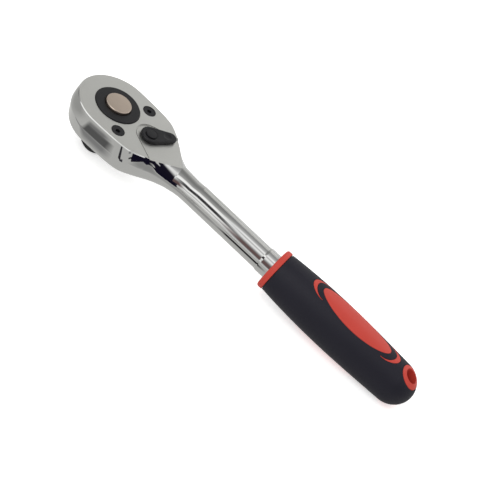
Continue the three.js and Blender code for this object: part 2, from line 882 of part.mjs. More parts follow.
function gripSleeve() {
  return cut(gripOuter(collarEnd + fitGap), coreBody(fitGap), inlayColumns(fitGap));
}

function mesh(name, geometry, finish) {
  const piece = new THREE.Mesh(geometry, finish);
  piece.name = name;
  return piece;
}

const solidMesh = (name, solid, finish) => mesh(name, geometryOf(solid), finish);

function screwMesh(name, side) {
  const screw = solidMesh(name, coverScrew(), blackOxide);
  screw.position.set(screwX, side * screwY, 0);
  return screw;
}

const handleGroup = new THREE.Group();
handleGroup.add(
  solidMesh('ratchet_body', ratchetBody(), chromePlate),
  solidMesh('cover_plate', coverPlate(), chromePlate),
  screwMesh('cover_screw_left', 1),
  screwMesh('cover_screw_right', -1),
  solidMesh('gear_thrust_washer', thrustWasher(), springSteel),
  solidMesh('grip_core', gripCore(), hardRed),
  solidMesh('grip_sleeve', gripSleeve(), softBlack),
);
const pin = solidMesh('pawl_pin', pawlPin(), springSteel);
pin.position.x = pawlPivot;
handleGroup.add(pin);

const driveGroup = new THREE.Group();
const ballGeometry = new THREE.SphereGeometry(ballRadius, smallSides, smallSides / 2);
const ball = mesh('detent_ball', ballGeometry, springSteel);
ball.position.set(ballReach, 0, ballHeight);
driveGroup.add(
  solidMesh('drive_gear', driveGear(), blackOxide),
  solidMesh('release_button', releaseButton(), satinNickel),
  mesh('button_spring', buttonSpring(), springSteel),
  ball,
);

const leverGroup = new THREE.Group();
leverGroup.position.x = leverX;
leverGroup.rotation.z = radians(leverRestBearing);
leverGroup.add(
  solidMesh('reverse_lever', reverseLever(), blackOxide),
  solidMesh('lever_seal_ring', leverSealRing(), softBlack),
  solidMesh('lever_retaining_ring', leverRetainingRing(), springSteel),
  solidMesh('lever_detent_pin', leverDetentPin(), springSteel),
  mesh('lever_detent_spring', leverDetentSpring(), springSteel),
);

const pawlGroup = new THREE.Group();
pawlGroup.position.x = pawlPivot;
pawlGroup.rotation.z = radians(-pawlRock);
pawlGroup.add(solidMesh('pawl', pawl(), springSteel));

const ratchet = new THREE.Group();
ratchet.add(handleGroup, driveGroup, leverGroup, pawlGroup);

export default ratchet;
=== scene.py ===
"""Socket ratchet, dressed for the studio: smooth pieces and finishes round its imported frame."""

import math
from itertools import chain
from types import SimpleNamespace

import bmesh
import bpy
import numpy as np
from bpy.props import FloatProperty, FloatVectorProperty, PointerProperty
from mathutils import Matrix, Vector
from mathutils.geometry import interpolate_bezier


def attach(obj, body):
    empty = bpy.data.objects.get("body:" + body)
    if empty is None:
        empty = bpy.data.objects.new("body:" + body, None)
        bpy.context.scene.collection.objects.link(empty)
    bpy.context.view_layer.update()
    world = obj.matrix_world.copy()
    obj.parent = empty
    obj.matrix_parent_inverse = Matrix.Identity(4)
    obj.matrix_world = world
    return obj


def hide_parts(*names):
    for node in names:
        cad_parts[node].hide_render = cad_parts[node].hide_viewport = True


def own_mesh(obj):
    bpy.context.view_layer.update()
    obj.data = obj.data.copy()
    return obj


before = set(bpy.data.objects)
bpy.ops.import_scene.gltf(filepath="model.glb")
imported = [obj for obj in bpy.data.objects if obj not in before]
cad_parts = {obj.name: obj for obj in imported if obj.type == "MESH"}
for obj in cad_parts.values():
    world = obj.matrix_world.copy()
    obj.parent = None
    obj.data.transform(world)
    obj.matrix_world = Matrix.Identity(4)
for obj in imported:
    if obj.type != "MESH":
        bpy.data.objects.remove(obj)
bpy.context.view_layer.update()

bl_info = {
    "name": "Socket ratchet",
    "version": (1, 0, 0),
    "blender": (4, 5, 0),
    "location": "View3D > Sidebar > Ratchet",
    "description": "Builds a reversible socket ratchet and its studio",
    "category": "Object",
}

MILLIMETRE = 0.001
QUARTER = math.pi / 2
FULL = 2 * math.pi
# Faces round the grip and the wheel, round other pieces, round small ones, and across an edge
FINE_STEPS = 144
ROUND_STEPS = 96
SMALL_STEPS = 48
EDGE_STEPS = 3
# Millimetres: reach of a cutter past its work, play round a piece, chamfer of turned ends
OVERCUT = 1.0
GAP = 0.3
CHAMFER = 0.3
# Millimetres: depth of the pawl pin's seats, sink of the screws, play over the cover plate
PIN_SEAT = 1.9
SCREW_SINK = 0.15
COVER_PLAY = 0.15
TOOTH_COUNT = 72
SPRING_TURNS = 3.5
SPRING_SIDES = 8
# Plan of the head: bearings of the tail and the shoulders, the shoulder's place behind the lever
# and inside the head's width, and the reach of the handles of the curves between them
TAIL_BEARING = math.radians(48.5)
SHOULDER_BEARING = math.radians(30)
SHOULDER_BEHIND = 2.5
SHOULDER_INSIDE = 3
CHEEK_HANDLES = (12, 5.2)
REAR_HANDLES = (9.8, 9.35)
FRONT_STEPS, CHEEK_STEPS, REAR_STEPS = 36, 20, 36
# Handles of the curve from the head to the shank, length of the ramp to the collar's seat, and
# where that ramp has its rings
FLARE_HANDLE = Vector((6, -4.3, 0))
SHANK_HANDLE = Vector((12, 0, 0))
SEAT_RAMP = 1.4
SEAT_RINGS = (0.2, 0.45, 0.7, 0.95, 1.2, 1.5)
# Stretches of the handle where the head's form turns to the neck's: inset of the rim, lean of the
# upper wall, roundness of the lower wall and height of the parting line
RIM_BLEND = (14, 38)
WALL_BLEND = (26, 60)
UNDER_BLEND = (24, 54)
PARTING_BLEND = (20, 58)
# The head's walls as degrees of an arc, with the points on them
WALL_LEAN, WALL_POINTS = 30, 13
UNDER_LEAN, UNDER_POINTS = 10, 17
# Where the neck starts to shape the sides and the foot, and how softly the forms meet
SIDE_START, SIDE_SOFTNESS = 30, 1.5
FOOT_START, FOOT_SOFTNESS = 44, 0.8
# Points on the bend of the lever's step, and millimetres from the step to its groove
STEP_POINTS = 24
GROOVE_OFFSET = 0.06

# Name, metallic, lowest and highest roughness, size and height of the grain, tint and size of the
# cloudy patches, and specular level
FINISHES = {
    # Polished plate: a mirror with the faint waves that a polishing wheel leaves
    "chrome": ("polished_chrome_plate", 1.0, (0.02, 0.05), 5.0, 0.003, 0.04, 9.0, 0.5),
    # Ground before plating: the flat top only glows, with a grit that breaks up reflections
    "ground": ("fine_ground_chrome", 1.0, (0.3, 0.4), 0.5, 0.004, 0.08, 14.0, 0.5),
    # Black oxide: dark, with a soft grey sheen on every edge
    "oxide": ("black_oxide_steel", 0.0, (0.38, 0.5), 0.6, 0.006, 0.25, 4.0, 0.3),
    # Turned and nickel plated: warm, with a soft highlight
    "nickel": ("turned_satin_nickel", 1.0, (0.3, 0.38), 0.5, 0.003, 0.1, 5.0, 0.5),
    # Ground steel of the inner pieces: bright but not a mirror
    "steel": ("bright_ground_steel", 1.0, (0.2, 0.3), 0.5, 0.003, 0.1, 5.0, 0.5),
    # Injection moulded: strong red with a fine satin grain
    "red": ("moulded_red_polypropylene", 0.0, (0.48, 0.58), 0.7, 0.012, 0.06, 9.0, 0.18),
    # Soft moulded rubber: matt charcoal with a wide, weak highlight
    "rubber": ("moulded_black_rubber", 0.0, (0.55, 0.66), 0.6, 0.016, 0.12, 9.0, 0.2),
    # Plating is dull in bores and grooves, and this finish's colour is darkened further as painted
    # shade, so that they read as thin dark lines
    "recess": ("dull_recess_plating", 0.6, (0.5, 0.65), 0.6, 0.01, 0.2, 3.0, 0.5),
}

# The studio, in metres. The floor is tilted to lie just under the square's end and the grip
FLOOR = Matrix.Translation((0, 0, -0.00056)) @ Matrix.Rotation(-math.atan2(0.0125, 0.208), 4, "Y")
FLOOR_REACH = 3.0
FLOOR_GLOW_SEEN = 0.55
FLOOR_GLOW_MIRRORED = 0.05
WORLD_LIGHT = 0.5
# Name, place, width and power of each lamp
LAMPS = (
    ("key_softbox", (-0.15, -0.55, 0.75), 0.5, 4.0),
    ("rear_softbox", (0.25, 0.7, 0.6), 0.6, 3.0),
)
LAMP_TARGET = (0.09, 0, 0.02)
# Azimuth, elevation and roll in degrees, solved from the photograph
CAMERA_ANGLES = (4.83, 39.37, 40.23)
CAMERA_TARGET = (0.1079, -0.01139, 0.0338)
CAMERA_DISTANCE = 0.5977
CAMERA_LENS = 79.97
CAMERA_SENSOR = 36.0
CAMERA_CLIP = (0.01, 20.0)
# Chrome mirrors about half of a card's light, so at this strength a card's colour shows as written
CARD_STRENGTH = 2.0
CARD_LIFT = 0.0005
CARD_SPACING = 0.0001
TENT_RADIUS = 0.45
TENT_HALF_LENGTH = 1.5
TENT_HEIGHT = 0.025
TENT_STEPS = 90
# Streaks of the glowing tent, which shows only in the chrome as painted reflections, for the head,
# the shank by the collar and the neck: degrees round the tunnel and colour
TENT_HEAD = (
    (0, "#dededd"),
    (9, "#dededd"),
    (14, "#9a9a99"),
    (20, "#d4d4d3"),
    (29, "#f0f0ef"),
    (33, "#b0b0af"),
    (37, "#222224"),
    (53, "#28282a"),
    (57, "#a0a0a0"),
    (60, "#f4f4f3"),
    (75, "#e6e6e5"),
    (82, "#989897"),
    (92, "#8e8e8d"),
    (104, "#7a7a79"),
    (119, "#747473"),
    (135, "#8a8a88"),
    (152, "#acacaa"),
    (180, "#adadab"),
)
TENT_COLLAR = (
    (0, "#b4b4b4"),
    (5, "#9a9a9a"),
    (8, "#5a4c4c"),
    (26, "#604c4a"),
    (33, "#6a6464"),
    (42, "#9c9c9c"),
    (52, "#dcdcdc"),
    (60, "#dedede"),
    (66, "#b0b0b0"),
    (72, "#b4b4b4"),
    (77, "#e8e8e8"),
    (84, "#e6e6e6"),
    (91, "#b4b4b4"),
    (104, "#969696"),
    (119, "#858585"),
    (135, "#a8a8a8"),
    (154, "#b6b6b6"),
    (180, "#bdbdbd"),
)
TENT_NECK = (
    (0, "#12101c"),
    (44, "#16141f"),
    (50, "#4a4a4e"),
    (60, "#a0a0a0"),
    (70, "#d4d4d4"),
    (84, "#dcdcdc"),
    (91, "#b8b8b8"),
    (104, "#989898"),
    (119, "#888888"),
    (135, "#a8a8a8"),
    (180, "#bdbdbd"),
)
# Where along the handle each set of streaks takes over from the one before
TENT_BLENDS = ((TENT_COLLAR, 0.03, 0.07), (TENT_NECK, 0.115, 0.15))
# Floor cards that glow only in the chrome: painted reflections, grey and dark soft patches that
# stand in for the tool's shadow on the floor round it
# Name, centre, half sizes, heading in degrees, colour, and the share of each half size that fades
FLOOR_CARDS = (
    ("under_card", (0.02, -0.02), (0.26, 0.17), 0, "#a6a6a4", (0.4, 0.4)),
    ("front_card", (-0.09, -0.02), (0.05, 0.08), 0, "#8e8e8c", (0.5, 0.5)),
    ("far_head_card", (-0.011, -0.086), (0.021, 0.032), -12, "#6a6a6a", (0.6, 0.9)),
    ("head_card", (-0.004, -0.0595), (0.021, 0.0235), -5, "#505050", (0.45, 0.35)),
    ("crease_card", (-0.012, -0.034), (0.03, 0.005), 0, "#767676", (0.3, 0.6)),
    ("spot_card", (0.0315, -0.043), (0.003, 0.011), 16, "#20202c", (0.4, 0.3)),
    ("thin_card", (0.0275, -0.072), (0.0024, 0.038), -4, "#26262a", (0.2, 0.1)),
    ("seat_card", (0.0575, -0.053), (0.006, 0.0035), 0, "#1c1c1e", (0.3, 0.3)),
    ("shoulder_card", (0.057, -0.084), (0.006, 0.01), 0, "#707070", (0.3, 0.3)),
    ("shank_card", (0.068, -0.031), (0.02, 0.012), 0, "#828281", (0.6, 0.5)),
    ("black_card", (0.102, -0.034), (0.02, 0.011), 0, "#1c1c1e", (0.4, 0.3)),
    ("line_card", (0.09, -0.074), (0.006, 0.004), 0, "#3a3a3a", (0.4, 0.4)),
)
# Standing cards that glow dark only in the chrome: painted dark reflections on the cheek and the
# neck
# Name, centre, half sizes, tilt in degrees and colour
STANDING_CARDS = (
    ("cheek_card", (0.056, -0.0396, 0.0181), (0.0135, 0.009), 41, "#100e1c"),
    ("neck_card", (0.062, -0.0408, 0.0227), (0.017, 0.0105), 41, "#12101c"),
)


def linear(code):
    """Turns an sRGB hex colour to linear red, green, blue and alpha."""
    parts = [int(code[i : i + 2], 16) / 255 for i in (1, 3, 5)]
    steps = [p / 12.92 if p <= 0.04045 else ((p + 0.055) / 1.055) ** 2.4 for p in parts]
    return (*steps, 1.0)


def size(name, text, length):
    """A length that the sidebar shows, given in millimetres."""
    return FloatProperty(
        name=name, description=text, default=length * MILLIMETRE, unit="LENGTH", precision=5
    )


def angle(name, text, degrees):
    """An angle that the sidebar shows, given in degrees."""
    return FloatProperty(
        name=name, description=text, default=math.radians(degrees), subtype="ANGLE"
    )


def colour(name, text, code):
    """A colour that the sidebar shows, given as sRGB hex."""
    return FloatVectorProperty(
        name=name, description=text, default=linear(code), size=4, min=0, max=1, subtype="COLOR"
    )


class RatchetSizes(bpy.types.PropertyGroup):
    """Sizes of the pieces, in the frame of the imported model"""

    head_radius: size("Head radius", "Plan radius of the head at its top edge", 23.68)
    head_top: size("Head top", "Height of the flat top", 33.8)
    head_bottom: size("Head bottom", "Height of the flat underside", 15.8)
    parting_drop: size("Parting line", "Depth of the forging's parting line below the top", 8.8)
    wall_flare: size("Wall flare", "How far the wall leans out down to the parting line", 0.5)
    draft_inset: size("Draft", "How far the lower wall leans in again", 1.3)
    bottom_fillet: size("Bottom fillet", "Rounding of the underside's edge", 1.8)
    rim_bevel: size("Rim bevel", "Bright bevel round the flat top", 0.4)
    rim_inset: size("Rim inset", "How far the flat top is drawn in round the head", 0.4)
    lever_x: size("Lever pivot", "Place of the lever's pivot along the handle", 24.93)
    lever_step: size("Lever step", "Depth of the step that the lever sweeps over", 0.6)
    lever_step_radius: size("Step radius", "Radius of that step round the pivot", 8.3)
    groove_width: size("Groove width", "Width of the thin groove along the step", 0.36)
    groove_depth: size("Groove depth", "Depth of that groove", 0.22)
    groove_reach: size("Groove reach", "Length of its straight sides", 15.5)
    lever_step_flare: angle("Step flare", "Angle of the step's sides to the handle", 27)
    tail_x: size("Tail", "Where the flat top runs out in a point", 50.13)
    crease_x: size("Crease", "Where the flat top starts to fall to its point", 41.5)
    tail_fall: size("Tail fall", "How far it falls", 0.45)
    flare_start: size("Flare start", "Where the neck's flare starts", 35.93)
    flare_radius: size("Flare radius", "Radius of the flare at its start", 15.0)
    flare_length: size("Flare length", "Length of the flare along the handle", 26.0)
    shank_height: size("Shank height", "Height of the shank's axis", 25.4)
    shank_radius: size("Shank radius", "Radius of the round shank", 7.3)
    seat_start: size("Seat start", "Where the thicker seat of the collar starts", 115.62)
    seat_radius: size("Seat radius", "Radius of that seat", 7.7)
    tang_radius: size("Tang radius", "Radius of the tang inside the grip", 6.6)
    tang_flat: size("Tang flat", "Half the tang's width across its flats", 5.2)
    tang_end: size("Tang end", "Where the tang ends in the grip", 204.8)
    ring_radius: size("Ring radius", "Radius of the black ring round the button", 13.43)
    ring_top: size("Ring top", "Height of that ring", 34.44)
    gear_tip: size("Tooth tips", "Radius of the wheel's tooth tips", 14.83)
    gear_root: size("Tooth roots", "Radius of the wheel's tooth roots", 13.98)
    gear_bottom: size("Wheel bottom", "Height of the wheel's underside", 19.9)
    gear_top: size("Wheel top", "Height of the wheel's upper side", 28.0)
    journal_radius: size("Journal radius", "Radius of the shoulder over the square", 9.6)
    journal_bottom: size("Journal bottom", "Height of that shoulder's face", 15.2)
    square_size: size("Square", "Width of the square drive", 12.7)
    square_corner: size("Square corner", "Radius that the square's corners are turned to", 8.2)
    square_tip: size("Square tip", "Radius of the end face", 6.1)
    button_radius: size("Button radius", "Radius of the release button", 7.57)
    button_top: size("Button top", "Height of the button's face", 36.1)
    button_bottom: size("Button bottom", "Height of the button's underside", 32.5)
    button_floor: size("Button floor", "Height of the floor of its bore", 26.6)
    button_travel: size("Button travel", "How far the button goes in", 2.5)
    spring_bottom: size("Spring bottom", "Height of the button spring's lower end", 26.9)
    spring_top: size("Spring top", "Height of that spring's upper end", 32.2)
    spring_wire: size("Spring wire", "Thickness of that spring's wire", 0.6)
    rod_radius: size("Rod radius", "Radius of the button's rod", 2.85)
    rod_bottom: size("Rod bottom", "Height of the rod's end", 5.6)
    ball_radius: size("Ball radius", "Radius of the ball that holds a socket", 2.0)
    ball_reach: size("Ball reach", "Distance of the ball from the drive axis", 5.15)
    ball_height: size("Ball height", "Height of the ball over the end face", 8.0)
    cover_top: size("Cover top", "Height of the cover plate's inner side", 18.8)
    cover_radius: size("Cover radius", "Radius of the cover plate round the wheel", 17.43)
    chamber_radius: size("Chamber radius", "Radius of the room for the wheel", 15.13)
    chamber_top: size("Chamber top", "Height of that room", 28.3)
    lever_room: size("Lever room", "Radius of the room for the lever's hub", 4.9)
    pawl_x: size("Pawl pin", "Place of the pawl's pin along the handle", 17.58)
    pawl_hole: size("Pawl hole", "Radius of the holes for that pin", 1.4)
    screw_x: size("Screw place", "Place of the screws along the handle", 12.45)
    screw_y: size("Screw spread", "Distance of the screws from the middle line", 15.65)
    screw_radius: size("Screw radius", "Radius of the screws' thread", 2.0)
    screw_head: size("Screw head", "Radius of the countersunk heads", 3.7)
    screw_socket: size("Screw socket", "Width of the hexagon socket across its flats", 2.5)
    hub_radius: size("Hub radius", "Radius of the lever's hub", 3.3)
    hub_bottom: size("Hub bottom", "Height of the hub's end", 19.25)
    blade_radius: size("Blade radius", "Radius of the lever's blade round its pivot", 5.9)
    blade_tip: size("Blade tip", "Radius of the blade's tip", 3.6)
    blade_length: size("Blade length", "Length of the blade from its pivot", 16.2)
    blade_bottom: size("Blade bottom", "Height of the blade's underside", 33.95)
    blade_top: size("Blade top", "Height of the blade's upper side", 35.45)
    boss_radius: size("Boss radius", "Radius of the boss over the pivot", 3.3)
    boss_proud: size("Boss", "How far the boss stands over the blade", 0.4)
    boss_moat: size("Moat", "Width of the groove round the boss", 1.3)
    lever_bearing: angle("Lever bearing", "Direction of the blade from the handle", 53)
    grip_front: size("Grip front", "Where the red collar starts", 123.12)
    collar_end: size("Collar end", "Where the rubber starts", 126.72)
    collar_radius: size("Collar radius", "Radius of the red collar", 12.9)
    grip_end: size("Grip end", "Rear end of the grip", 226.72)
    grip_front_radius: size("Grip front radius", "Radius of the grip behind the collar", 12.45)
    grip_rear_radius: size("Grip rear radius", "Radius of the grip before its dome", 12.85)
    grip_swell: size("Grip swell", "How far the grip swells for the palm", 1.66)
    grip_dome: size("Grip dome", "Length of the domed end", 13.5)
    core_radius: size("Core radius", "Radius of the hard core under the rubber", 9.85)
    oval_front: size("Oval front", "Front end of the red oval", 152.12)
    oval_rear: size("Oval rear", "Rear end of the red oval", 201.42)
    oval_half_width: size("Oval half width", "Half the width of the red oval", 7.8)
    crescent_front: size("Front crescent", "Front of the first red crescent", 145.22)
    crescent_rear: size("Rear crescent", "Rear of the second red crescent", 208.32)
    crescent_reach: size("Crescent reach", "Length of a crescent", 10.2)
    crescent_width: size("Crescent width", "Width of a crescent at its middle", 2.7)
    crescent_tip: size("Crescent tip", "Width of a crescent at its ends", 0.1)
    crescent_half_width: size("Crescent half width", "Half the width between its tips", 6.4)
    eye_x: size("Eye", "Place of the hanging eye", 218.22)
    eye_radius: size("Eye radius", "Radius of the red eye", 6.4)
    eye_hole: size("Eye hole", "Radius of the hole in it", 4.0)


class RatchetColours(bpy.types.PropertyGroup):
    """Colours of the finishes"""

    chrome: colour("Chrome", "Polished chrome plate", "#bdbdbc")
    ground: colour("Ground chrome", "Fine-ground flat top under thin chrome", "#cececb")
    oxide: colour("Black oxide", "Blackened steel", "#131317")
    nickel: colour("Satin nickel", "Turned button", "#c4b5a8")
    steel: colour("Bright steel", "Ground steel of the inner pieces", "#a9abaf")
    red: colour("Red", "Hard moulded core", "#c8453a")
    rubber: colour("Rubber", "Soft moulded sleeve", "#1d1c26")
    floor: colour("Floor", "Pale studio floor", "#f4f4f3")
    # Painted shade: near black, so that the bores and the groove read as shaded
    recess: colour("Recess", "Dull plating in the bores and the groove", "#1b1b1d")


def millimetres(group):
    """The sidebar's values, with lengths in millimetres."""
    found = {}
    for key in type(group).__annotations__:
        value = getattr(group, key)
        is_length = group.bl_rna.properties[key].unit == "LENGTH"
        found[key] = value / MILLIMETRE if is_length else value
    return SimpleNamespace(**found)


def per(size_in_mm):
    """Texture scale whose pattern repeats about once in so many millimetres."""
    return 1 / (size_in_mm * MILLIMETRE)


def node(tree, kind, inputs=None, **settings):
    """Adds a node with its settings, and fills or links its inputs by name or number."""
    made = tree.nodes.new("ShaderNode" + kind)
    for key, value in settings.items():
        setattr(made, key, value)
    for key, value in (inputs or {}).items():
        socket = made.inputs[key]
        if isinstance(value, bpy.types.NodeSocket):
            tree.links.new(value, socket)
        else:
            socket.default_value = value
    return made


def blank_material(name):
    """A new node material, emptied."""
    made = bpy.data.materials.new(name)
    made.use_nodes = True
    made.node_tree.nodes.clear()
    return made, made.node_tree


def finish(name, base, metallic, rough, grain, bump, tint, cloud, specular):
    """A finish with a clouded tint, an uneven roughness and a fine grain.

    rough is the lowest and highest roughness, grain is the grain's size and cloud the size of the
    cloudy patches, both in millimetres, bump is the grain's height in millimetres, and tint is how
    far the patches darken the base colour.
    """
    made, tree = blank_material(name)
    place = node(tree, "TexCoord").outputs["Object"]
    patches = node(tree, "TexNoise", {"Vector": place, "Scale": per(cloud), "Detail": 3.0})
    fine = node(tree, "TexNoise", {"Vector": place, "Scale": per(grain), "Detail": 2.0})
    dark = tuple(part * (1 - tint) for part in base[:3]) + (1.0,)
    shade = node(tree, "Mix", {0: patches.outputs[0], 6: base, 7: dark}, data_type="RGBA")
    spread = node(
        tree, "MapRange", {0: fine.outputs[0], 1: 0.3, 2: 0.7, 3: rough[0], 4: rough[1]}
    )
    relief = node(
        tree, "Bump", {"Strength": 1.0, "Distance": bump * MILLIMETRE, "Height": fine.outputs[0]}
    )
    shader = node(
        tree,
        "BsdfPrincipled",
        {
            "Base Color": shade.outputs[2],
            "Metallic": metallic,
            "Roughness": spread.outputs[0],
            "Normal": relief.outputs[0],
            "Specular IOR Level": specular,
        },
    )
    node(tree, "OutputMaterial", {"Surface": shader.outputs[0]})
    return made


def finishes():
    """All the object's finishes by the names of their colours, each made once."""
    colours = bpy.context.scene.ratchet_colours
    found = {}
    for key, (name, *surface) in FINISHES.items():
        kept = bpy.data.materials.get(name)
        found[key] = kept or finish(name, getattr(colours, key)[:], *surface)
    return SimpleNamespace(**found)


def arc(x, y, radius, start, end, steps):
    """Points on an arc in the plane of the plan."""
    return [
        Vector((x + radius * math.cos(a), y + radius * math.sin(a), 0))
        for a in np.linspace(start, end, steps + 1)
    ]


def everything(bm):
    """All of a shape, as an operator takes it."""
    return bm.verts[:] + bm.edges[:] + bm.faces[:]


def spun(profile, steps=ROUND_STEPS, centre=(0, 0)):
    """A closed outline of radius and height, spun about an upright axis."""
    bm = bmesh.new()
    rim = [bm.verts.new((radius, 0, height)) for radius, height in profile]
    edges = [bm.edges.new(pair) for pair in zip(rim, rim[1:] + rim[:1])]
    bmesh.ops.spin(
        bm,
        geom=rim + edges,
        cent=(0, 0, 0),
        axis=(0, 0, 1),
        angle=FULL,
        steps=steps,
        use_merge=True,
    )
    return closed(bm, Matrix.Translation((*centre, 0)))


def laid_along(bm, height):
    """Lays an upright shape along the handle at a height."""
    turn = Matrix.Translation((0, 0, height)) @ Matrix.Rotation(QUARTER, 4, "Y")
    bmesh.ops.transform(bm, matrix=turn, verts=bm.verts)
    return bm


def spun_along(profile, height, steps=ROUND_STEPS):
    """An outline of radius and distance, spun about an axis along the handle."""
    return laid_along(spun(profile, steps), height)


def closed(bm, place=Matrix()):
    """Merges seams and poles, turns the faces outwards, and puts the shape in its place."""
    bmesh.ops.remove_doubles(bm, verts=bm.verts, dist=1e-4)
    bmesh.ops.dissolve_degenerate(bm, edges=bm.edges, dist=1e-5)
    bmesh.ops.recalc_face_normals(bm, faces=bm.faces)
    bmesh.ops.transform(bm, matrix=place, verts=bm.verts)
    return bm


def prism(outline, bottom, top):
    """A plan outline raised between two heights."""
    bm = bmesh.new()
    face = bm.faces.new([bm.verts.new((p[0], p[1], bottom)) for p in outline])
    raised = bmesh.ops.extrude_face_region(bm, geom=[face])["geom"]
    verts = [g for g in raised if isinstance(g, bmesh.types.BMVert)]
    bmesh.ops.translate(bm, vec=(0, 0, top - bottom), verts=verts)
    bmesh.ops.recalc_face_normals(bm, faces=bm.faces)
    return bm


def band_outline(circles, growth=0.0, steps=SMALL_STEPS):
    """Outline of a tight band round circles of x, y and radius."""
    bm = bmesh.new()
    for x, y, radius in circles:
        bmesh.ops.create_circle(
            bm, segments=steps, radius=radius + growth, matrix=Matrix.Translation((x, y, 0))
        )
    flat = [vert.co.copy() for vert in bm.verts]
    bm.free()
    order = sorted(flat, key=lambda p: (p.x, p.y))

    def chain_of(points):
        """One side of the band: the points that keep turning left."""
        kept = []
        for point in points:
            while len(kept) > 1 and (kept[-1] - kept[-2]).cross(point - kept[-2]).z <= 1e-6:
                kept.pop()
            kept.append(point)
        return kept[:-1]

    return chain_of(order) + chain_of(order[::-1])


def cylinder(x, y, radius, bottom, top, steps=ROUND_STEPS):
    """An upright round cutter."""
    return prism(arc(x, y, radius, 0, FULL, steps)[:-1], bottom, top)


def mesh_of(name, bm):
    """A mesh of a shape, which is freed."""
    mesh = bpy.data.meshes.new(name)
    bm.to_mesh(mesh)
    bm.free()
    return mesh


def placed(name, data):
    """A new object in the scene."""
    made = bpy.data.objects.new(name, data)
    bpy.context.scene.collection.objects.link(made)
    return made


def temporary(bm):
    """A short-lived object that holds a shape for a boolean."""
    return placed("cutter", mesh_of("cutter", bm))


def carved(bm, *cutters, operation="DIFFERENCE"):
    """The shape after each of the cutters is cut from it, joined to it or crossed with it."""
    holder = temporary(bm)
    tools = [temporary(cutter) for cutter in cutters]
    for tool in tools:
        step = holder.modifiers.new("cut", "BOOLEAN")
        step.operation = operation
        step.solver = "EXACT"
        step.object = tool
    result = bmesh.new()
    result.from_object(holder, bpy.context.evaluated_depsgraph_get())
    for made in [holder, *tools]:
        mesh = made.data
        bpy.data.objects.remove(made)
        bpy.data.meshes.remove(mesh)
    bmesh.ops.remove_doubles(result, verts=result.verts, dist=1e-3)
    bmesh.ops.dissolve_degenerate(result, edges=result.edges, dist=1e-4)
    return result


def rounded(bm, edges, width, steps=EDGE_STEPS, clamp=True):
    """Rounds the chosen edges."""
    bmesh.ops.bevel(
        bm,
        geom=edges,
        offset=width,
        segments=steps,
        profile=0.5,
        affect="EDGES",
        material=-1,
        clamp_overlap=clamp,
    )
    return bm


def crisp(bm, least, above=-math.inf, below=math.inf):
    """Outward edges between two heights where the surface turns by more than so many degrees."""
    return [
        edge
        for edge in bm.edges
        if edge.is_convex
        and edge.calc_face_angle(0) > math.radians(least)
        and all(above < vert.co.z < below for vert in edge.verts)
    ]


def joined(*shapes):
    """One mesh of several closed shapes."""
    whole = bmesh.new()
    for bm in shapes:
        mesh = mesh_of("shape", bm)
        whole.from_mesh(mesh)
        bpy.data.meshes.remove(mesh)
    return whole


def piece(name, bm, materials, body, slot, *nodes, sharp=32.0):
    """Puts a finished shape in the scene in metres, on its body and in place of its CAD nodes."""
    bmesh.ops.scale(bm, vec=(MILLIMETRE,) * 3, verts=bm.verts)
    mesh = mesh_of(name, bm)
    for material in materials:
        mesh.materials.append(material)
    mesh.shade_smooth()
    mesh.set_sharp_from_angle(angle=math.radians(sharp))
    made = placed(name, mesh)
    normals = made.modifiers.new("face_weighted_normals", "WEIGHTED_NORMAL")
    normals.keep_sharp = True
    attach(made, body)
    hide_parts(*nodes)
    return made


def smooth_step(value, low, high):
    """Soft rise from 0 at low to 1 at high."""
    t = min(max((value - low) / (high - low), 0), 1)
    return t * t * (3 - 2 * t)


def soft_max(a, b, k):
    """The larger of two lengths, rounded where they meet."""
    return max(a, b) + max(k - abs(a - b), 0) ** 2 / (4 * k)


def head_plan(s, inset):
    """Half the egg-shaped plan of the head, from the front to the tail's point."""
    radius = s.head_radius - inset
    tail_way, shoulder_way = (
        Vector((-math.cos(bearing), math.sin(bearing), 0))
        for bearing in (TAIL_BEARING, SHOULDER_BEARING)
    )
    tail = Vector((s.tail_x - inset / tail_way.y, 0, 0))
    shoulder = Vector((s.lever_x + SHOULDER_BEHIND, s.head_radius - SHOULDER_INSIDE, 0))
    shoulder += Vector((-inset * shoulder_way.y, inset * shoulder_way.x, 0))
    front = arc(0, 0, radius, math.pi, QUARTER, FRONT_STEPS)
    cheek = interpolate_bezier(
        front[-1],
        Vector((CHEEK_HANDLES[0], radius, 0)),
        shoulder + shoulder_way * CHEEK_HANDLES[1],
        shoulder,
        CHEEK_STEPS,
    )
    rear = interpolate_bezier(
        shoulder,
        shoulder - shoulder_way * REAR_HANDLES[0],
        tail + tail_way * REAR_HANDLES[1],
        tail,
        REAR_STEPS,
    )
    return front + cheek[1:] + rear[1:]


def neck_radius(s):
    """Radius of the neck's flare and the shank against the distance along the handle."""
    start = Vector((s.flare_start, s.flare_radius, 0))
    end = Vector((s.flare_start + s.flare_length, s.shank_radius, 0))
    curve = interpolate_bezier(start, start + FLARE_HANDLE, end - SHANK_HANDLE, end, 80)

    def at(x):
        """The radius at a distance along the handle."""
        ramp = smooth_step(x, s.seat_start, s.seat_start + SEAT_RAMP)
        seat = (s.seat_radius - s.shank_radius) * ramp
        return float(np.interp(x, [p.x for p in curve], [p.y for p in curve])) + seat

    return at


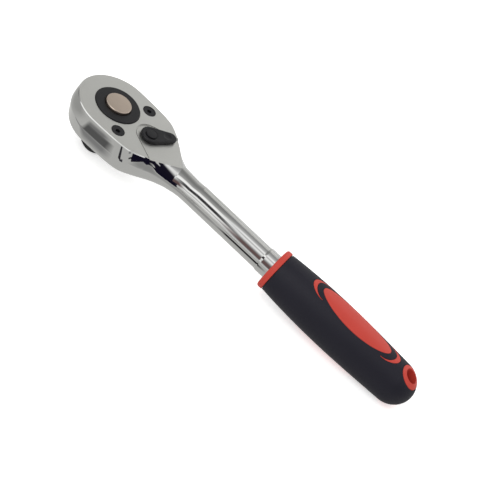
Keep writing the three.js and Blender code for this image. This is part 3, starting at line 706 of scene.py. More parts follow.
def forging_section(s, edge, side, foot):
    """Half a section through the forging: top edge to parting line to underside.

    Round the head the wall is almost straight and the foot has a fillet. Along the neck both turn
    into arcs, and on the shank they make a half circle.
    """
    lean = math.radians(WALL_LEAN + (90 - WALL_LEAN) * smooth_step(side.x, *WALL_BLEND))
    wide = 1 - math.cos(lean)
    points = []
    for a in np.linspace(lean, 0, WALL_POINTS):
        way = edge.lerp(side, (math.cos(a) - math.cos(lean)) / wide)
        height = side.z + (edge.z - side.z) * math.sin(a) / math.sin(lean)
        points.append(Vector((way.x, way.y, height)))
    roundness = smooth_step(side.x, *UNDER_BLEND)
    under = math.radians(UNDER_LEAN + (90 - UNDER_LEAN) * roundness)
    wide = 1 - math.cos(under)
    total = s.wall_flare + s.draft_inset + s.bottom_fillet
    drop = side.z - foot.z
    bend = (s.wall_flare + s.draft_inset) / total
    corner = bend * drop / (drop - s.bottom_fillet)
    for t in np.linspace(0, 1, UNDER_POINTS)[1:]:
        if t < 0.5:
            flat = Vector((bend * t / 0.5, (drop - s.bottom_fillet) * t / 0.5))
        else:
            u = (t - 0.5) / 0.5
            flat = (
                Vector((bend, drop - s.bottom_fillet)) * (1 - u) ** 2
                + Vector((corner, drop)) * 2 * u * (1 - u)
                + Vector((1, drop)) * u ** 2
            )
        b = under * t
        curved = Vector(((1 - math.cos(b)) / wide, drop * math.sin(b) / math.sin(under)))
        share, down = flat.lerp(curved, roundness)
        way = side.lerp(foot, share)
        points.append(Vector((way.x, way.y, side.z - down)))
    return points


def step_line(s, outset=0.0):
    """Plan of the step's edge on the left half, from the middle line round the lever."""
    radius = s.lever_step_radius + outset
    return arc(s.lever_x, 0, radius, math.pi, QUARTER + s.lever_step_flare, STEP_POINTS)


def step_way(s):
    """Direction in plan of the step's straight sides."""
    return Vector((math.cos(s.lever_step_flare), math.sin(s.lever_step_flare), 0))


def both_sides(half):
    """A line of the left half, led on over the middle line to the right half."""
    return [Vector((p.x, -p.y, 0)) for p in half[:0:-1]] + half


def forging_stations(s):
    """Edge, side and foot points of the left half, from the front to the end of the shank."""
    radius_at = neck_radius(s)
    insets = (0, s.rim_inset, -s.wall_flare, s.draft_inset + s.bottom_fillet)
    tops, drawn_in, sides, feet = (head_plan(s, inset) for inset in insets)
    edges = [p.lerp(q, 1 - smooth_step(p.x, *RIM_BLEND)) for p, q in zip(tops, drawn_in)]
    out = step_way(s)
    bend = step_line(s)[-1]
    stations = []
    stepped = False
    for edge, side, foot in zip(edges, sides, feet):
        neck = radius_at(side.x) if side.x > SIDE_START else 0
        side = Vector((side.x, soft_max(side.y, neck, SIDE_SOFTNESS), 0))
        beyond = out.cross(edge - bend).z < 0 and edge.x > s.lever_x
        if beyond and not stepped:
            before = stations[-1]
            gap = out.cross(before[0] - bend).z
            share = gap / (gap - out.cross(edge - bend).z)
            crossing = [p.lerp(q, share) for p, q in zip(before[:3], (edge, side, foot))]
            stations += [(*crossing, False), (*[p.copy() for p in crossing], True)]
            stepped = True
        stations.append((edge, side, foot, stepped))
    tail = stations[-1][:3]
    meet = s.flare_start + s.flare_length
    xs = [*np.linspace(tail[1].x, meet, 19)[1:], *np.linspace(meet, s.seat_start, 12)[1:]]
    xs += [s.seat_start + ring for ring in SEAT_RINGS] + [s.collar_end]
    for x in xs:
        fade = max(0, (meet - x) / (meet - tail[1].x))
        ex, fx = (x + (p.x - tail[1].x) * fade for p in (tail[0], tail[2]))
        stations.append(
            (Vector((ex, 0, 0)), Vector((x, radius_at(x), 0)), Vector((fx, 0, 0)), True)
        )
    for edge, side, foot, low in stations:
        level = s.head_top - (s.lever_step if low else 0)
        level -= s.tail_fall * max(0, edge.x - s.crease_x) / (s.tail_x - s.crease_x)
        on_shank = s.shank_height + radius_at(edge.x)
        on_flat = edge.x <= s.tail_x + 0.01
        edge.z = level if on_flat else -soft_max(-level, -on_shank, FOOT_SOFTNESS)
        if edge.x > meet:
            edge.z = on_shank
        side.z = s.head_top - s.parting_drop
        side.z += (s.shank_height - side.z) * smooth_step(side.x, *PARTING_BLEND)
        foot.z = s.head_bottom
        if foot.x > FOOT_START:
            under_shank = s.shank_height - radius_at(foot.x)
            foot.z = soft_max(s.head_bottom, under_shank, FOOT_SOFTNESS)
    return stations


def forging_skin(s):
    """Head, neck, shank and tang in one closed skin."""
    stations = forging_stations(s)
    sections = [forging_section(s, *station[:3]) for station in stations]
    around = [math.pi * i / (len(sections[0]) - 1) for i in range(len(sections[0]))]
    tang = [
        (
            min(s.tang_radius * math.sin(a), s.tang_flat),
            s.shank_height + s.tang_radius * math.cos(a),
        )
        for a in around
    ]
    for x in (s.collar_end, s.tang_end):
        sections.append([Vector((x, y, z)) for y, z in tang])
    bm = bmesh.new()
    bmesh.ops.create_grid(bm, x_segments=len(around) - 1, y_segments=len(sections) - 1, size=1)
    for vert, point in zip(bm.verts, chain(*sections)):
        vert.co = point
    bmesh.ops.mirror(bm, geom=everything(bm), merge_dist=1e-3, axis="Y")
    bmesh.ops.remove_doubles(bm, verts=bm.verts, dist=1e-3)
    corner = next(a[0] for a, b in zip(stations, stations[1:]) if b[3] and not a[3])
    step_edge(bm, s, corner)
    rims = [e for e in bm.edges if e.is_boundary]
    bmesh.ops.holes_fill(bm, edges=rims, sides=0)
    bmesh.ops.recalc_face_normals(bm, faces=bm.faces)
    crease = (s.crease_x, 0, 0)
    bmesh.ops.bisect_plane(bm, geom=everything(bm), plane_co=crease, plane_no=(1, 0, 0))
    rim = [e for e in crisp(bm, 30) if all(on_rim(s, v.co) for v in e.verts)]
    return rounded(bm, rim, s.rim_bevel, 1, clamp=False)


def on_rim(s, at):
    """Whether a point lies on the flat top's outer edge, ahead of the lever's step."""
    outside = at.x < 0 or abs(at.y) > s.lever_step_radius * 1.8
    return outside and at.x < s.flare_start - 2 and abs(at.z - s.head_top) < 1e-3


def step_edge(bm, s, corner):
    """Lays the wall of the lever's step across the open top, so that each level can be filled."""
    plan = both_sides([*step_line(s), corner.copy()])
    rows = []
    for level in (s.head_top, s.head_top - s.lever_step):
        rows.append([bm.verts.new((p.x, p.y, level)) for p in plan])
    for high, low in zip(*(zip(row, row[1:]) for row in rows)):
        bm.faces.new((high[0], high[1], low[1], low[0]))
    bmesh.ops.remove_doubles(bm, verts=bm.verts, dist=1e-3)


def step_groove(s):
    """Plan of the thin groove along the upper edge of the lever's step."""
    sides = []
    for outset in (GROOVE_OFFSET, GROOVE_OFFSET + s.groove_width):
        half = step_line(s, outset)
        half.append(half[-1] + step_way(s) * s.groove_reach)
        sides.append(both_sides(half))
    return sides[0] + sides[1][::-1]


def screw_hole(s, growth, x, y):
    """Countersunk screw, or the hole for one."""
    head, shank = s.screw_head + growth, s.screw_radius + growth
    low = s.head_bottom + SCREW_SINK - 2 * growth
    top = s.head_top - SCREW_SINK
    reach = top + 2 * growth
    profile = [(0, low), (shank, low), (shank, top - head + shank), (head, top), (0, reach)]
    if growth:
        profile.insert(4, (head, reach))
    return spun(profile, SMALL_STEPS, (x, y))


def cover_circles(s):
    """Circles that the cover plate's outline is drawn round."""
    ear_wall = 1.4
    ear = s.screw_radius + GAP + ear_wall
    return [
        (0, 0, s.cover_radius),
        (s.lever_x, 0, s.lever_room),
        (s.screw_x, s.screw_y, ear),
        (s.screw_x, -s.screw_y, ear),
    ]


def pawl_room(s):
    """Circles that the pawl's room is drawn round: its two toes and the two ends of its heel."""
    reach = s.gear_tip + 1.2
    bearing, half_swing = math.radians(35), math.radians(4.5)
    swing = reach * half_swing + GAP
    toe_x, toe_y, toe = reach * math.cos(bearing), reach * math.sin(bearing), 1.5
    heel_x, heel_y, heel = s.lever_x - 3.9, 5.6, 1.2
    return [
        (toe_x, toe_y, toe + swing),
        (toe_x, -toe_y, toe + swing),
        (heel_x, heel_y, heel + swing),
        (heel_x, -heel_y, heel + swing),
    ]


class RATCHET_OT_forging(bpy.types.Operator):
    """Builds the chromed head and shank"""

    bl_idname = "ratchet.forging"
    bl_label = "Head and shank"

    def execute(self, context):
        s = millimetres(context.scene.ratchet_sizes)
        looks = finishes()
        over = s.head_top + OVERCUT
        low = s.head_bottom - OVERCUT
        pin_top = s.chamber_top + PIN_SEAT
        bm = carved(
            forging_skin(s),
            prism(step_groove(s), s.head_top - s.groove_depth, over),
            prism(band_outline(cover_circles(s), GAP), low, s.cover_top + COVER_PLAY),
            cylinder(0, 0, s.chamber_radius, s.head_bottom, s.chamber_top),
            prism(band_outline(pawl_room(s)), s.head_bottom, s.chamber_top),
            cylinder(s.lever_x, 0, s.lever_room, s.head_bottom, s.chamber_top, SMALL_STEPS),
            cylinder(0, 0, s.ring_radius + GAP, s.head_bottom, over),
            cylinder(s.lever_x, 0, s.hub_radius + GAP, s.head_bottom, over, SMALL_STEPS),
            cylinder(s.pawl_x, 0, s.pawl_hole, s.head_bottom, pin_top, SMALL_STEPS),
            screw_hole(s, GAP, s.screw_x, s.screw_y),
            screw_hole(s, GAP, s.screw_x, -s.screw_y),
        )
        for face in bm.faces:
            face.material_index = self.finish_of(s, face)
        materials = [looks.chrome, looks.ground, looks.recess]
        piece("head_and_shank", bm, materials, "handle", "chrome_plate", "ratchet_body")
        return {"FINISHED"}

    def finish_of(self, s, face):
        """0 for the polished skin, 1 for the ground flat, 2 for the bores and the groove, whose
        dark finish is painted shade.
        """
        at = face.calc_center_median()
        slack, groove_slack, lip, screw_slack, hub_slack = 0.1, 0.05, 0.02, 0.2, 1
        across = abs(at.y) * math.cos(s.lever_step_flare)
        off_side = (s.lever_x - at.x) * math.sin(s.lever_step_flare) + across - s.lever_step_radius
        off_bend = math.hypot(at.x - s.lever_x, at.y) - s.lever_step_radius
        off_step = off_side if at.x > s.lever_x - s.lever_step_radius / 2 else off_bend
        beside_groove = abs(off_step - s.groove_width / 2) < s.groove_width
        groove_floor = s.head_top - s.groove_depth - groove_slack
        if beside_groove and groove_floor < at.z < s.head_top - lip:
            return 2
        on_step = abs(off_step) < s.groove_width / 2 and at.z > s.head_top - s.lever_step
        lowest_flat = s.head_top - s.lever_step - s.tail_fall - slack
        if on_step or (face.normal.z > 0.99 and at.z > lowest_flat):
            return 1
        if at.z < s.head_bottom + slack:
            return 0
        spots = [(0, 0, s.chamber_radius), (s.lever_x, 0, s.hub_radius + hub_slack)]
        screw = s.screw_head + GAP + screw_slack
        spots += [(s.screw_x, y, screw) for y in (s.screw_y, -s.screw_y)]
        in_bore = any(math.hypot(at.x - x, at.y - y) < reach for x, y, reach in spots)
        return 2 if in_bore else 0


class RATCHET_OT_cover(bpy.types.Operator):
    """Builds the cover plate under the head, and the screws that hold it"""

    bl_idname = "ratchet.cover"
    bl_label = "Cover plate and screws"

    def execute(self, context):
        s = millimetres(context.scene.ratchet_sizes)
        looks = finishes()
        plate_edge, screw_edge, socket_depth = 0.25, 0.15, 1.65
        low, high = s.head_bottom - OVERCUT, s.cover_top + OVERCUT
        plate = carved(
            prism(band_outline(cover_circles(s)), s.head_bottom, s.cover_top),
            cylinder(0, 0, s.journal_radius + GAP, low, high),
            cylinder(s.screw_x, s.screw_y, s.screw_radius + GAP, low, high, SMALL_STEPS),
            cylinder(s.screw_x, -s.screw_y, s.screw_radius + GAP, low, high, SMALL_STEPS),
            cylinder(s.pawl_x, 0, s.pawl_hole, s.cover_top - PIN_SEAT, high, SMALL_STEPS),
        )
        rounded(plate, crisp(plate, 60), plate_edge)
        piece("bottom_cover", plate, [looks.chrome], "handle", "chrome_plate", "cover_plate")
        for side, y in (("left", s.screw_y), ("right", -s.screw_y)):
            hexagon = arc(s.screw_x, y, s.screw_socket / math.sqrt(3), 0, FULL, 6)[:-1]
            screw = carved(
                screw_hole(s, 0, s.screw_x, y),
                prism(hexagon, s.head_top - socket_depth, s.head_top + OVERCUT),
            )
            rounded(screw, crisp(screw, 25, above=s.head_top - 0.5), screw_edge)
            name = "cover_screw_" + side
            piece("hex_" + name, screw, [looks.oxide], "handle", "black_oxide", name)
        return {"FINISHED"}


class RATCHET_OT_drive(bpy.types.Operator):
    """Builds the toothed wheel with its ring and square, and the ball in the square"""

    bl_idname = "ratchet.drive"
    bl_label = "Drive wheel and ball"

    def execute(self, context):
        s = millimetres(context.scene.ratchet_sizes)
        looks = finishes()
        bore = s.button_radius + GAP
        rod = s.rod_radius + GAP
        root = s.gear_root - 0.05
        ring_edge, lip_edge = 0.5, 0.4
        ring = [
            (s.ring_radius - ring_edge + p.x, s.ring_top - ring_edge + p.y)
            for p in arc(0, 0, ring_edge, 0, QUARTER, 5)
        ]
        lip = [
            (bore + lip_edge - p.x, s.ring_top - lip_edge + p.y)
            for p in arc(0, 0, lip_edge, QUARTER, 0, 4)
        ]
        wheel = spun(
            [
                (rod, s.journal_bottom),
                (s.journal_radius - CHAMFER, s.journal_bottom),
                (s.journal_radius, s.journal_bottom + CHAMFER),
                (s.journal_radius, s.gear_bottom),
                (root, s.gear_bottom),
                (root, s.gear_top),
                (s.ring_radius, s.gear_top),
                *ring,
                *lip,
                (bore, s.button_floor),
                (rod, s.button_floor),
            ],
            FINE_STEPS,
        )
        whole = joined(wheel, self.teeth(s), self.square(s))
        piece("wheel_and_square", whole, [looks.oxide], "drive", "black_oxide", "drive_gear")
        ball = bmesh.new()
        place = Matrix.Translation((s.ball_reach, 0, s.ball_height))
        bmesh.ops.create_icosphere(ball, subdivisions=4, radius=s.ball_radius, matrix=place)
        piece("steel_ball", ball, [looks.steel], "ball", "bright_steel", "detent_ball")
        return {"FINISHED"}

    def teeth(self, s):
        """A ring of straight-flanked teeth, each with its foot sunk in the wheel."""
        tip, foot, sink = 0.08, 0.3, 0.6
        flank = s.gear_root * (math.pi / TOOTH_COUNT) - tip
        tooth = [
            (s.gear_tip, -tip),
            (s.gear_tip, tip),
            (s.gear_root, flank),
            (s.gear_root - sink, foot),
            (s.gear_root - sink, -foot),
            (s.gear_root, -flank),
        ]
        bm = prism(tooth, s.gear_bottom, s.gear_top)
        bmesh.ops.spin(
            bm,
            geom=everything(bm),
            cent=(0, 0, 0),
            axis=(0, 0, 1),
            angle=FULL * (TOOTH_COUNT - 1) / TOOTH_COUNT,
            steps=TOOTH_COUNT - 1,
            use_duplicate=True,
        )
        return bm

    def square(self, s):
        """The square, turned at its corners, pointed at its end and bored for the rod and ball."""
        half = s.square_size / 2
        top = s.journal_bottom + OVERCUT
        edge, bore_end, ball_room, mouth = 0.12, 2.8, s.ball_radius + GAP, 1.6 + GAP
        bar = prism([(half, half), (-half, half), (-half, -half), (half, -half)], 0, top)
        lead = s.square_corner - s.square_tip
        turned = spun(
            [(0, 0), (s.square_tip, 0), (s.square_corner, lead), (s.square_corner, top), (0, top)]
        )
        bar = carved(bar, turned, operation="INTERSECT")
        rounded(bar, crisp(bar, 15, below=top - 0.1), edge, 2)
        hole = spun_along(
            [
                (0, 0),
                (ball_room, 0),
                (ball_room, s.ball_reach + GAP),
                (mouth, half),
                (mouth, half + OVERCUT),
                (0, half + OVERCUT),
            ],
            s.ball_height,
            SMALL_STEPS,
        )
        bore = cylinder(0, 0, s.rod_radius + GAP, bore_end, top + OVERCUT, SMALL_STEPS)
        return carved(bar, bore, hole)


class RATCHET_OT_button(bpy.types.Operator):
    """Builds the release button on its rod"""

    bl_idname = "ratchet.button"
    bl_label = "Release button"

    def execute(self, context):
        s = millimetres(context.scene.ratchet_sizes)
        looks = finishes()
        edge, foot_edge, crown_fall, half_fall = 0.55, 0.2, 0.12, 0.03
        # The rod is slim where the ball drops in, so that a pushed button lets a socket go
        waist = s.ball_height + 2.5
        slim = s.rod_radius - 1.05
        waist_half, waist_reach = 0.4, 2.35
        crown = [
            (s.button_radius - edge + p.x, s.button_top - crown_fall - edge + p.y)
            for p in arc(0, 0, edge, 0, QUARTER * 0.94, 6)
        ]
        button = spun(
            [
                (0, s.rod_bottom),
                (s.rod_radius - CHAMFER, s.rod_bottom),
                (s.rod_radius, s.rod_bottom + CHAMFER),
                (s.rod_radius, waist - waist_reach),
                (slim, waist - waist_half),
                (slim, waist + waist_half),
                (s.rod_radius, waist + waist_reach),
                (s.rod_radius, s.button_bottom),
                (s.button_radius - foot_edge, s.button_bottom),
                (s.button_radius, s.button_bottom + foot_edge),
                *crown,
                (s.button_radius * 0.5, s.button_top - half_fall),
                (0, s.button_top),
            ]
        )
        piece("satin_button", button, [looks.nickel], "button", "satin_nickel", "release_button")
        return {"FINISHED"}


class RATCHET_OT_spring(bpy.types.Operator):
    """Winds the coil spring under the button"""

    bl_idname = "ratchet.spring"
    bl_label = "Button spring"

    def execute(self, context):
        s = millimetres(context.scene.ratchet_sizes)
        looks = finishes()
        wire = s.spring_wire / 2
        length = s.spring_top - s.spring_bottom
        steps = round(SPRING_TURNS * SMALL_STEPS)
        start = Vector(((s.rod_radius + s.button_radius) / 2, 0, s.spring_bottom + wire))
        place = Matrix.Translation(start) @ Matrix.Rotation(QUARTER, 4, "X")
        bm = bmesh.new()
        bmesh.ops.create_circle(bm, segments=SPRING_SIDES, radius=wire, matrix=place)
        bmesh.ops.spin(
            bm,
            geom=bm.verts[:] + bm.edges[:],
            cent=(0, 0, 0),
            axis=(0, 0, 1),
            dvec=(0, 0, (length - s.spring_wire) / steps),
            angle=SPRING_TURNS * FULL,
            steps=steps,
        )
        bmesh.ops.holes_fill(bm, edges=[e for e in bm.edges if e.is_boundary], sides=0)
        bmesh.ops.recalc_face_normals(bm, faces=bm.faces)
        made = piece(
            "wound_spring", bm, [looks.steel], "drive", "bright_steel", "button_spring", sharp=60.0
        )
        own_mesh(made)
        return {"FINISHED"}


class RATCHET_OT_lever(bpy.types.Operator):
    """Builds the reversing lever with its boss and hub"""

    bl_idname = "ratchet.lever"
    bl_label = "Reversing lever"

    def execute(self, context):
        s = millimetres(context.scene.ratchet_sizes)
        looks = finishes()
        whole = joined(self.blade(s), self.boss(s), self.hub(s))
        place = Matrix.Translation((s.lever_x, 0, 0)) @ Matrix.Rotation(s.lever_bearing, 4, "Z")
        bmesh.ops.transform(whole, matrix=place, verts=whole.verts)
        piece("thumb_lever", whole, [looks.oxide], "lever", "black_oxide", "reverse_lever")
        return {"FINISHED"}

    def blade(self, s):
        """The thumb's blade, with a moat round the boss and a shallow dish for the thumb."""
        edge, edge_steps, moat_floor_width, moat_rise = 0.7, 5, 0.3, 0.05
        dish_radius, dish_depth, dish_x = 9.0, 0.4, 10.3
        circles = [(0, 0, s.blade_radius), (s.blade_length - s.blade_tip, 0, s.blade_tip)]
        blade = prism(band_outline(circles, 0, ROUND_STEPS), s.blade_bottom, s.blade_top)
        rounded(blade, crisp(blade, 60, above=s.blade_top - 0.1), edge, edge_steps)
        boss_top = s.blade_top + s.boss_proud
        moat_floor = s.blade_top - s.boss_proud
        moat = spun(
            [
                (s.boss_radius, moat_floor),
                (s.boss_radius + moat_floor_width, moat_floor),
                (s.boss_radius + s.boss_moat, s.blade_top + moat_rise),
                (s.boss_radius + s.boss_moat, boss_top),
                (s.boss_radius, boss_top),
            ],
            SMALL_STEPS,
        )
        dish = bmesh.new()
        centre = Matrix.Translation((dish_x, 0, s.blade_top + dish_radius - dish_depth))
        bmesh.ops.create_uvsphere(
            dish, u_segments=64, v_segments=48, radius=dish_radius, matrix=centre
        )
        return carved(blade, moat, dish)

    def boss(self, s):
        """The round boss over the pivot, sunk in the blade."""
        top, foot = s.blade_top + s.boss_proud, s.blade_bottom + 0.5
        play, edge, edge_middle = 0.02, 0.35, 0.12
        return spun(
            [
                (0, foot),
                (s.boss_radius - play, foot),
                (s.boss_radius - play, top - edge),
                (s.boss_radius - edge_middle, top - edge_middle),
                (s.boss_radius - edge, top),
                (0, top),
            ],
            SMALL_STEPS,
        )

    def hub(self, s):
        """The hub in the head, grooved for its two rings and bored for the detent pin."""
        ring_bottom, ring_top, ring_depth = 27.05, s.chamber_top - 0.15, 0.7
        seal_bottom, seal_top, seal_floor = 30.3, 31.5, 2.4
        top = s.blade_bottom + 0.4
        pin_radius, pin_rear, pin_front, pin_height = 1.4, -4.6, 3.2, 22.85
        hub = spun(
            [
                (0, s.hub_bottom),
                (s.hub_radius - CHAMFER, s.hub_bottom),
                (s.hub_radius, s.hub_bottom + CHAMFER),
                (s.hub_radius, ring_bottom),
                (s.hub_radius - ring_depth, ring_bottom),
                (s.hub_radius - ring_depth, ring_top),
                (s.hub_radius, ring_top),
                (s.hub_radius, seal_bottom),
                (seal_floor, seal_bottom),
                (seal_floor, seal_top),
                (s.hub_radius, seal_top),
                (s.hub_radius, top),
                (0, top),
            ],
            SMALL_STEPS,
        )
        pin_bore = cylinder(0, 0, pin_radius, pin_rear, pin_front, SMALL_STEPS)
        return carved(hub, laid_along(pin_bore, pin_height))


def grip_profile(s, start):
    """Radius and distance along the grip's outside, from a start to the end of the dome."""
    side_steps, dome_steps, swell_forward = 60, 28, 0.85
    dome = s.grip_end - s.grip_dome
    taper = s.grip_rear_radius - s.grip_front_radius
    points = []
    for x in np.linspace(start, dome, side_steps)[:-1]:
        along = max(0, (x - s.collar_end) / (dome - s.collar_end))
        swell = s.grip_swell * math.sin(math.pi * along ** swell_forward)
        points.append((s.grip_front_radius + taper * along + swell, x))
    for a in np.linspace(0, QUARTER, dome_steps):
        points.append((s.grip_rear_radius * math.cos(a), dome + s.grip_dome * math.sin(a)))
    points[-1] = (0, s.grip_end)
    return points


def crescent(s, apex, facing, growth):
    """Outline of a crescent with its apex at a place along the grip, open to one side."""
    tip = apex + facing * s.crescent_reach
    outer = s.crescent_reach + 2 * growth, s.crescent_half_width + growth
    inner = (
        s.crescent_reach - s.crescent_width,
        s.crescent_half_width - s.crescent_tip - growth,
    )
    bows = [
        [
            Vector((tip + facing * (reach * p.x + growth), width * p.y, 0))
            for p in arc(0, 0, 1, QUARTER, 3 * QUARTER, 40)
        ]
        for reach, width in (outer, inner)
    ]
    return bows[0] + bows[1][::-1]


def grip_columns(s, growth):
    """Upright columns where the red shows: the oval, the two crescents and the eye."""
    middle = (s.oval_front + s.oval_rear) / 2
    half = (s.oval_rear - s.oval_front) / 2 + growth
    oval = [
        Vector((middle + half * p.x, (s.oval_half_width + growth) * p.y, 0))
        for p in arc(0, 0, 1, 0, FULL, 120)[:-1]
    ]
    outlines = [
        oval,
        arc(s.eye_x, 0, s.eye_radius + growth, 0, FULL, 72)[:-1],
        crescent(s, s.crescent_front, 1, growth),
        crescent(s, s.crescent_rear, -1, growth),
    ]
    reach = 2 * s.grip_rear_radius
    return [prism(o, s.shank_height - reach, s.shank_height + reach) for o in outlines]


class RATCHET_OT_grip(bpy.types.Operator):
    """Builds the hard red core and the rubber sleeve over it"""

    bl_idname = "ratchet.grip"
    bl_label = "Grip"

    def execute(self, context):
        s = millimetres(context.scene.ratchet_sizes)
        looks = finishes()
        core = joined(self.core(s), self.inlays(s))
        piece("red_core", core, [looks.red], "handle", "red_plastic", "grip_core")
        sleeve = self.sleeve(s)
        piece("rubber_sleeve", sleeve, [looks.rubber], "handle", "black_rubber", "grip_sleeve")
        return {"FINISHED"}

    def inlays(self, s):
        """The oval, crescents and eye, whose faces follow the grip's outside."""
        z = s.shank_height
        reach = 2 * s.grip_rear_radius
        start = s.collar_end
        skin = [(0, start), *grip_profile(s, start)]
        columns = joined(*grip_columns(s, 0))
        inlays = carved(spun_along(skin, z, FINE_STEPS), columns, operation="INTERSECT")
        return carved(inlays, cylinder(s.eye_x, 0, s.eye_hole, z - reach, z + reach))

    def core(self, s):
        """The collar and the tube under the rubber."""
        front_edge, rear_edge, tang_room, end_taper = 1.5, 0.4, 7, 3
        start = s.collar_end
        seat = s.seat_radius + GAP
        end = s.eye_x - s.eye_radius
        front = [
            (s.collar_radius - front_edge + p.x, s.grip_front + front_edge - p.y)
            for p in arc(0, 0, front_edge, QUARTER, 0, 7)
        ]
        rear = [
            (s.collar_radius - rear_edge + p.x, start - rear_edge + p.y)
            for p in arc(0, 0, rear_edge, 0, QUARTER, 4)
        ]
        return spun_along(
            [
                (seat, s.grip_front),
                *front,
                *rear,
                (s.core_radius, start),
                (s.core_radius, end),
                (s.core_radius - end_taper, end + 1),
                (tang_room, end + 1),
                (tang_room, start + GAP),
                (seat, start + GAP),
            ],
            s.shank_height,
        )

    def sleeve(self, s):
        """The rubber, hollow for the core, with a window for each inlay."""
        end_taper, window_play = 3, 0.2
        start = s.collar_end + GAP
        inside = s.core_radius + GAP
        sleeve = spun_along(
            [
                (inside, start),
                *grip_profile(s, start),
                (0, s.eye_x + GAP),
                (inside - end_taper, s.eye_x + GAP),
                (inside, s.eye_x - s.eye_radius),
            ],
            s.shank_height,
            FINE_STEPS,
        )
        return carved(sleeve, *grip_columns(s, window_play))


class RATCHET_OT_inner(bpy.types.Operator):
    """Gives the inner pieces their steel and rubber"""

    bl_idname = "ratchet.inner"
    bl_label = "Inner pieces"

    def execute(self, context):
        looks = finishes()
        for name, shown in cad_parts.items():
            if shown.hide_render:
                continue
            shown.data.materials.clear()
            shown.data.materials.append(
                looks.rubber if name == "lever_seal_ring" else looks.steel
            )
        return {"FINISHED"}


class RATCHET_OT_stage(bpy.types.Operator):
    """Sets up the floor, the cards, the lamps and the camera"""

    bl_idname = "ratchet.stage"
    bl_label = "Studio"

    def execute(self, context):
        scene = context.scene
        scene.view_settings.view_transform = "Standard"
        self.world(scene)
        self.floor(scene.ratchet_colours)
        self.tent()
        self.cards()
        self.lamps()
        self.camera(scene)
        return {"FINISHED"}

    def world(self, scene):
        """Soft light all round, which the camera and the mirrors see as white."""
        world = bpy.data.worlds.new("studio_room")
        scene.world = world
        world.use_nodes = True
        tree = world.node_tree
        tree.nodes.clear()
        path = node(tree, "LightPath").outputs
        seen = node(tree, "Math", {0: path["Is Camera Ray"], 1: path["Is Glossy Ray"]})
        seen = node(
            tree, "Math", {0: seen.outputs[0], 1: path["Is Transmission Ray"]}, use_clamp=True
        )
        soft = node(tree, "Background", {"Color": (1, 1, 1, 1), "Strength": WORLD_LIGHT})
        white = node(tree, "Background", {"Color": (1, 1, 1, 1), "Strength": 1.0})
        mix = node(tree, "MixShader", {0: seen.outputs[0], 1: soft.outputs[0], 2: white.outputs[0]})
        node(tree, "OutputWorld", {"Surface": mix.outputs[0]})

    def floor(self, colours):
        """White paper that keeps the shadow and glows a little where the camera sees it."""
        bm = bmesh.new()
        bmesh.ops.create_grid(bm, x_segments=1, y_segments=1, size=FLOOR_REACH, matrix=FLOOR)
        paper, tree = blank_material("white_paper")
        path = node(tree, "LightPath").outputs
        mirrored = node(tree, "Math", {0: path["Is Glossy Ray"], 1: path["Is Transmission Ray"]})
        mirrored = node(
            tree, "Math", {0: mirrored.outputs[0], 1: FLOOR_GLOW_MIRRORED}, operation="MULTIPLY"
        )
        lift = node(
            tree,
            "Math",
            {0: path["Is Camera Ray"], 1: FLOOR_GLOW_SEEN, 2: mirrored.outputs[0]},
            operation="MULTIPLY_ADD",
        )
        matt = node(tree, "BsdfDiffuse", {"Color": colours.floor[:]})
        glow = node(tree, "Emission", {"Color": (1, 1, 1, 1), "Strength": lift.outputs[0]})
        both = node(tree, "AddShader", {0: matt.outputs[0], 1: glow.outputs[0]})
        node(tree, "OutputMaterial", {"Surface": both.outputs[0]})
        self.backdrop("studio_floor", bm, paper)

    def backdrop(self, name, bm, material, only_mirrored=False):
        """Puts a floor or a card on the stage. Cards show only in the chrome."""
        mesh = mesh_of(name, bm)
        mesh.materials.append(material)
        made = placed(name, mesh)
        if only_mirrored:
            made.visible_camera = made.visible_diffuse = made.visible_shadow = False
            made.visible_transmission = made.visible_volume_scatter = False

    def tent(self):
        """A long half tunnel that glows in white, grey and dark streaks and shows only in the
        chrome: painted reflections that give the chrome its streaks.
        """
        bm = bmesh.new()
        ends = [
            bm.verts.new((x, -TENT_RADIUS, 0.0)) for x in (-TENT_HALF_LENGTH, TENT_HALF_LENGTH)
        ]
        seam = bm.edges.new(ends)
        bmesh.ops.spin(
            bm,
            geom=[*ends, seam],
            cent=(0, 0, 0),
            axis=(-1, 0, 0),
            angle=math.pi,
            steps=TENT_STEPS,
        )
        bmesh.ops.translate(bm, vec=(0, 0, TENT_HEIGHT), verts=bm.verts)
        reflection_glow, tree = blank_material("tent_cloth")
        place = node(tree, "TexCoord").outputs["Object"]
        turned = node(
            tree,
            "Mapping",
            {
                "Vector": place,
                "Location": (0, -TENT_HEIGHT, 0),
                "Rotation": Matrix(((0, -1, 0), (0, 0, 1), (-1, 0, 0))).to_euler(),
            },
        )
        around = node(tree, "TexGradient", {"Vector": turned.outputs[0]}, gradient_type="RADIAL")
        along = node(tree, "SeparateXYZ", {0: place}).outputs["X"]
        shown = self.streaks(tree, around.outputs["Fac"], TENT_HEAD)
        for streaks, start, end in TENT_BLENDS:
            share = node(
                tree, "MapRange", {0: along, 1: start, 2: end}, interpolation_type="SMOOTHSTEP"
            )
            other = self.streaks(tree, around.outputs["Fac"], streaks)
            mixed = node(tree, "Mix", {0: share.outputs[0], 6: shown, 7: other}, data_type="RGBA")
            shown = mixed.outputs[2]
        glow = node(tree, "Emission", {"Color": shown, "Strength": CARD_STRENGTH})
        node(tree, "OutputMaterial", {"Surface": glow.outputs[0]})
        self.backdrop("light_tent", bm, reflection_glow, True)

    def streaks(self, tree, around, stops):
        """Glowing streaks at angles round the tunnel, from the camera's side over the top: painted
        reflections for the chrome.
        """
        ramp = node(tree, "ValToRGB", {0: around})
        found = ramp.color_ramp.elements
        while len(found) < len(stops):
            found.new(0.5)
        for stop, (degrees, code) in zip(found, stops):
            stop.position = 0.5 + degrees / 360
            stop.color = linear(code)
        return ramp.outputs[0]

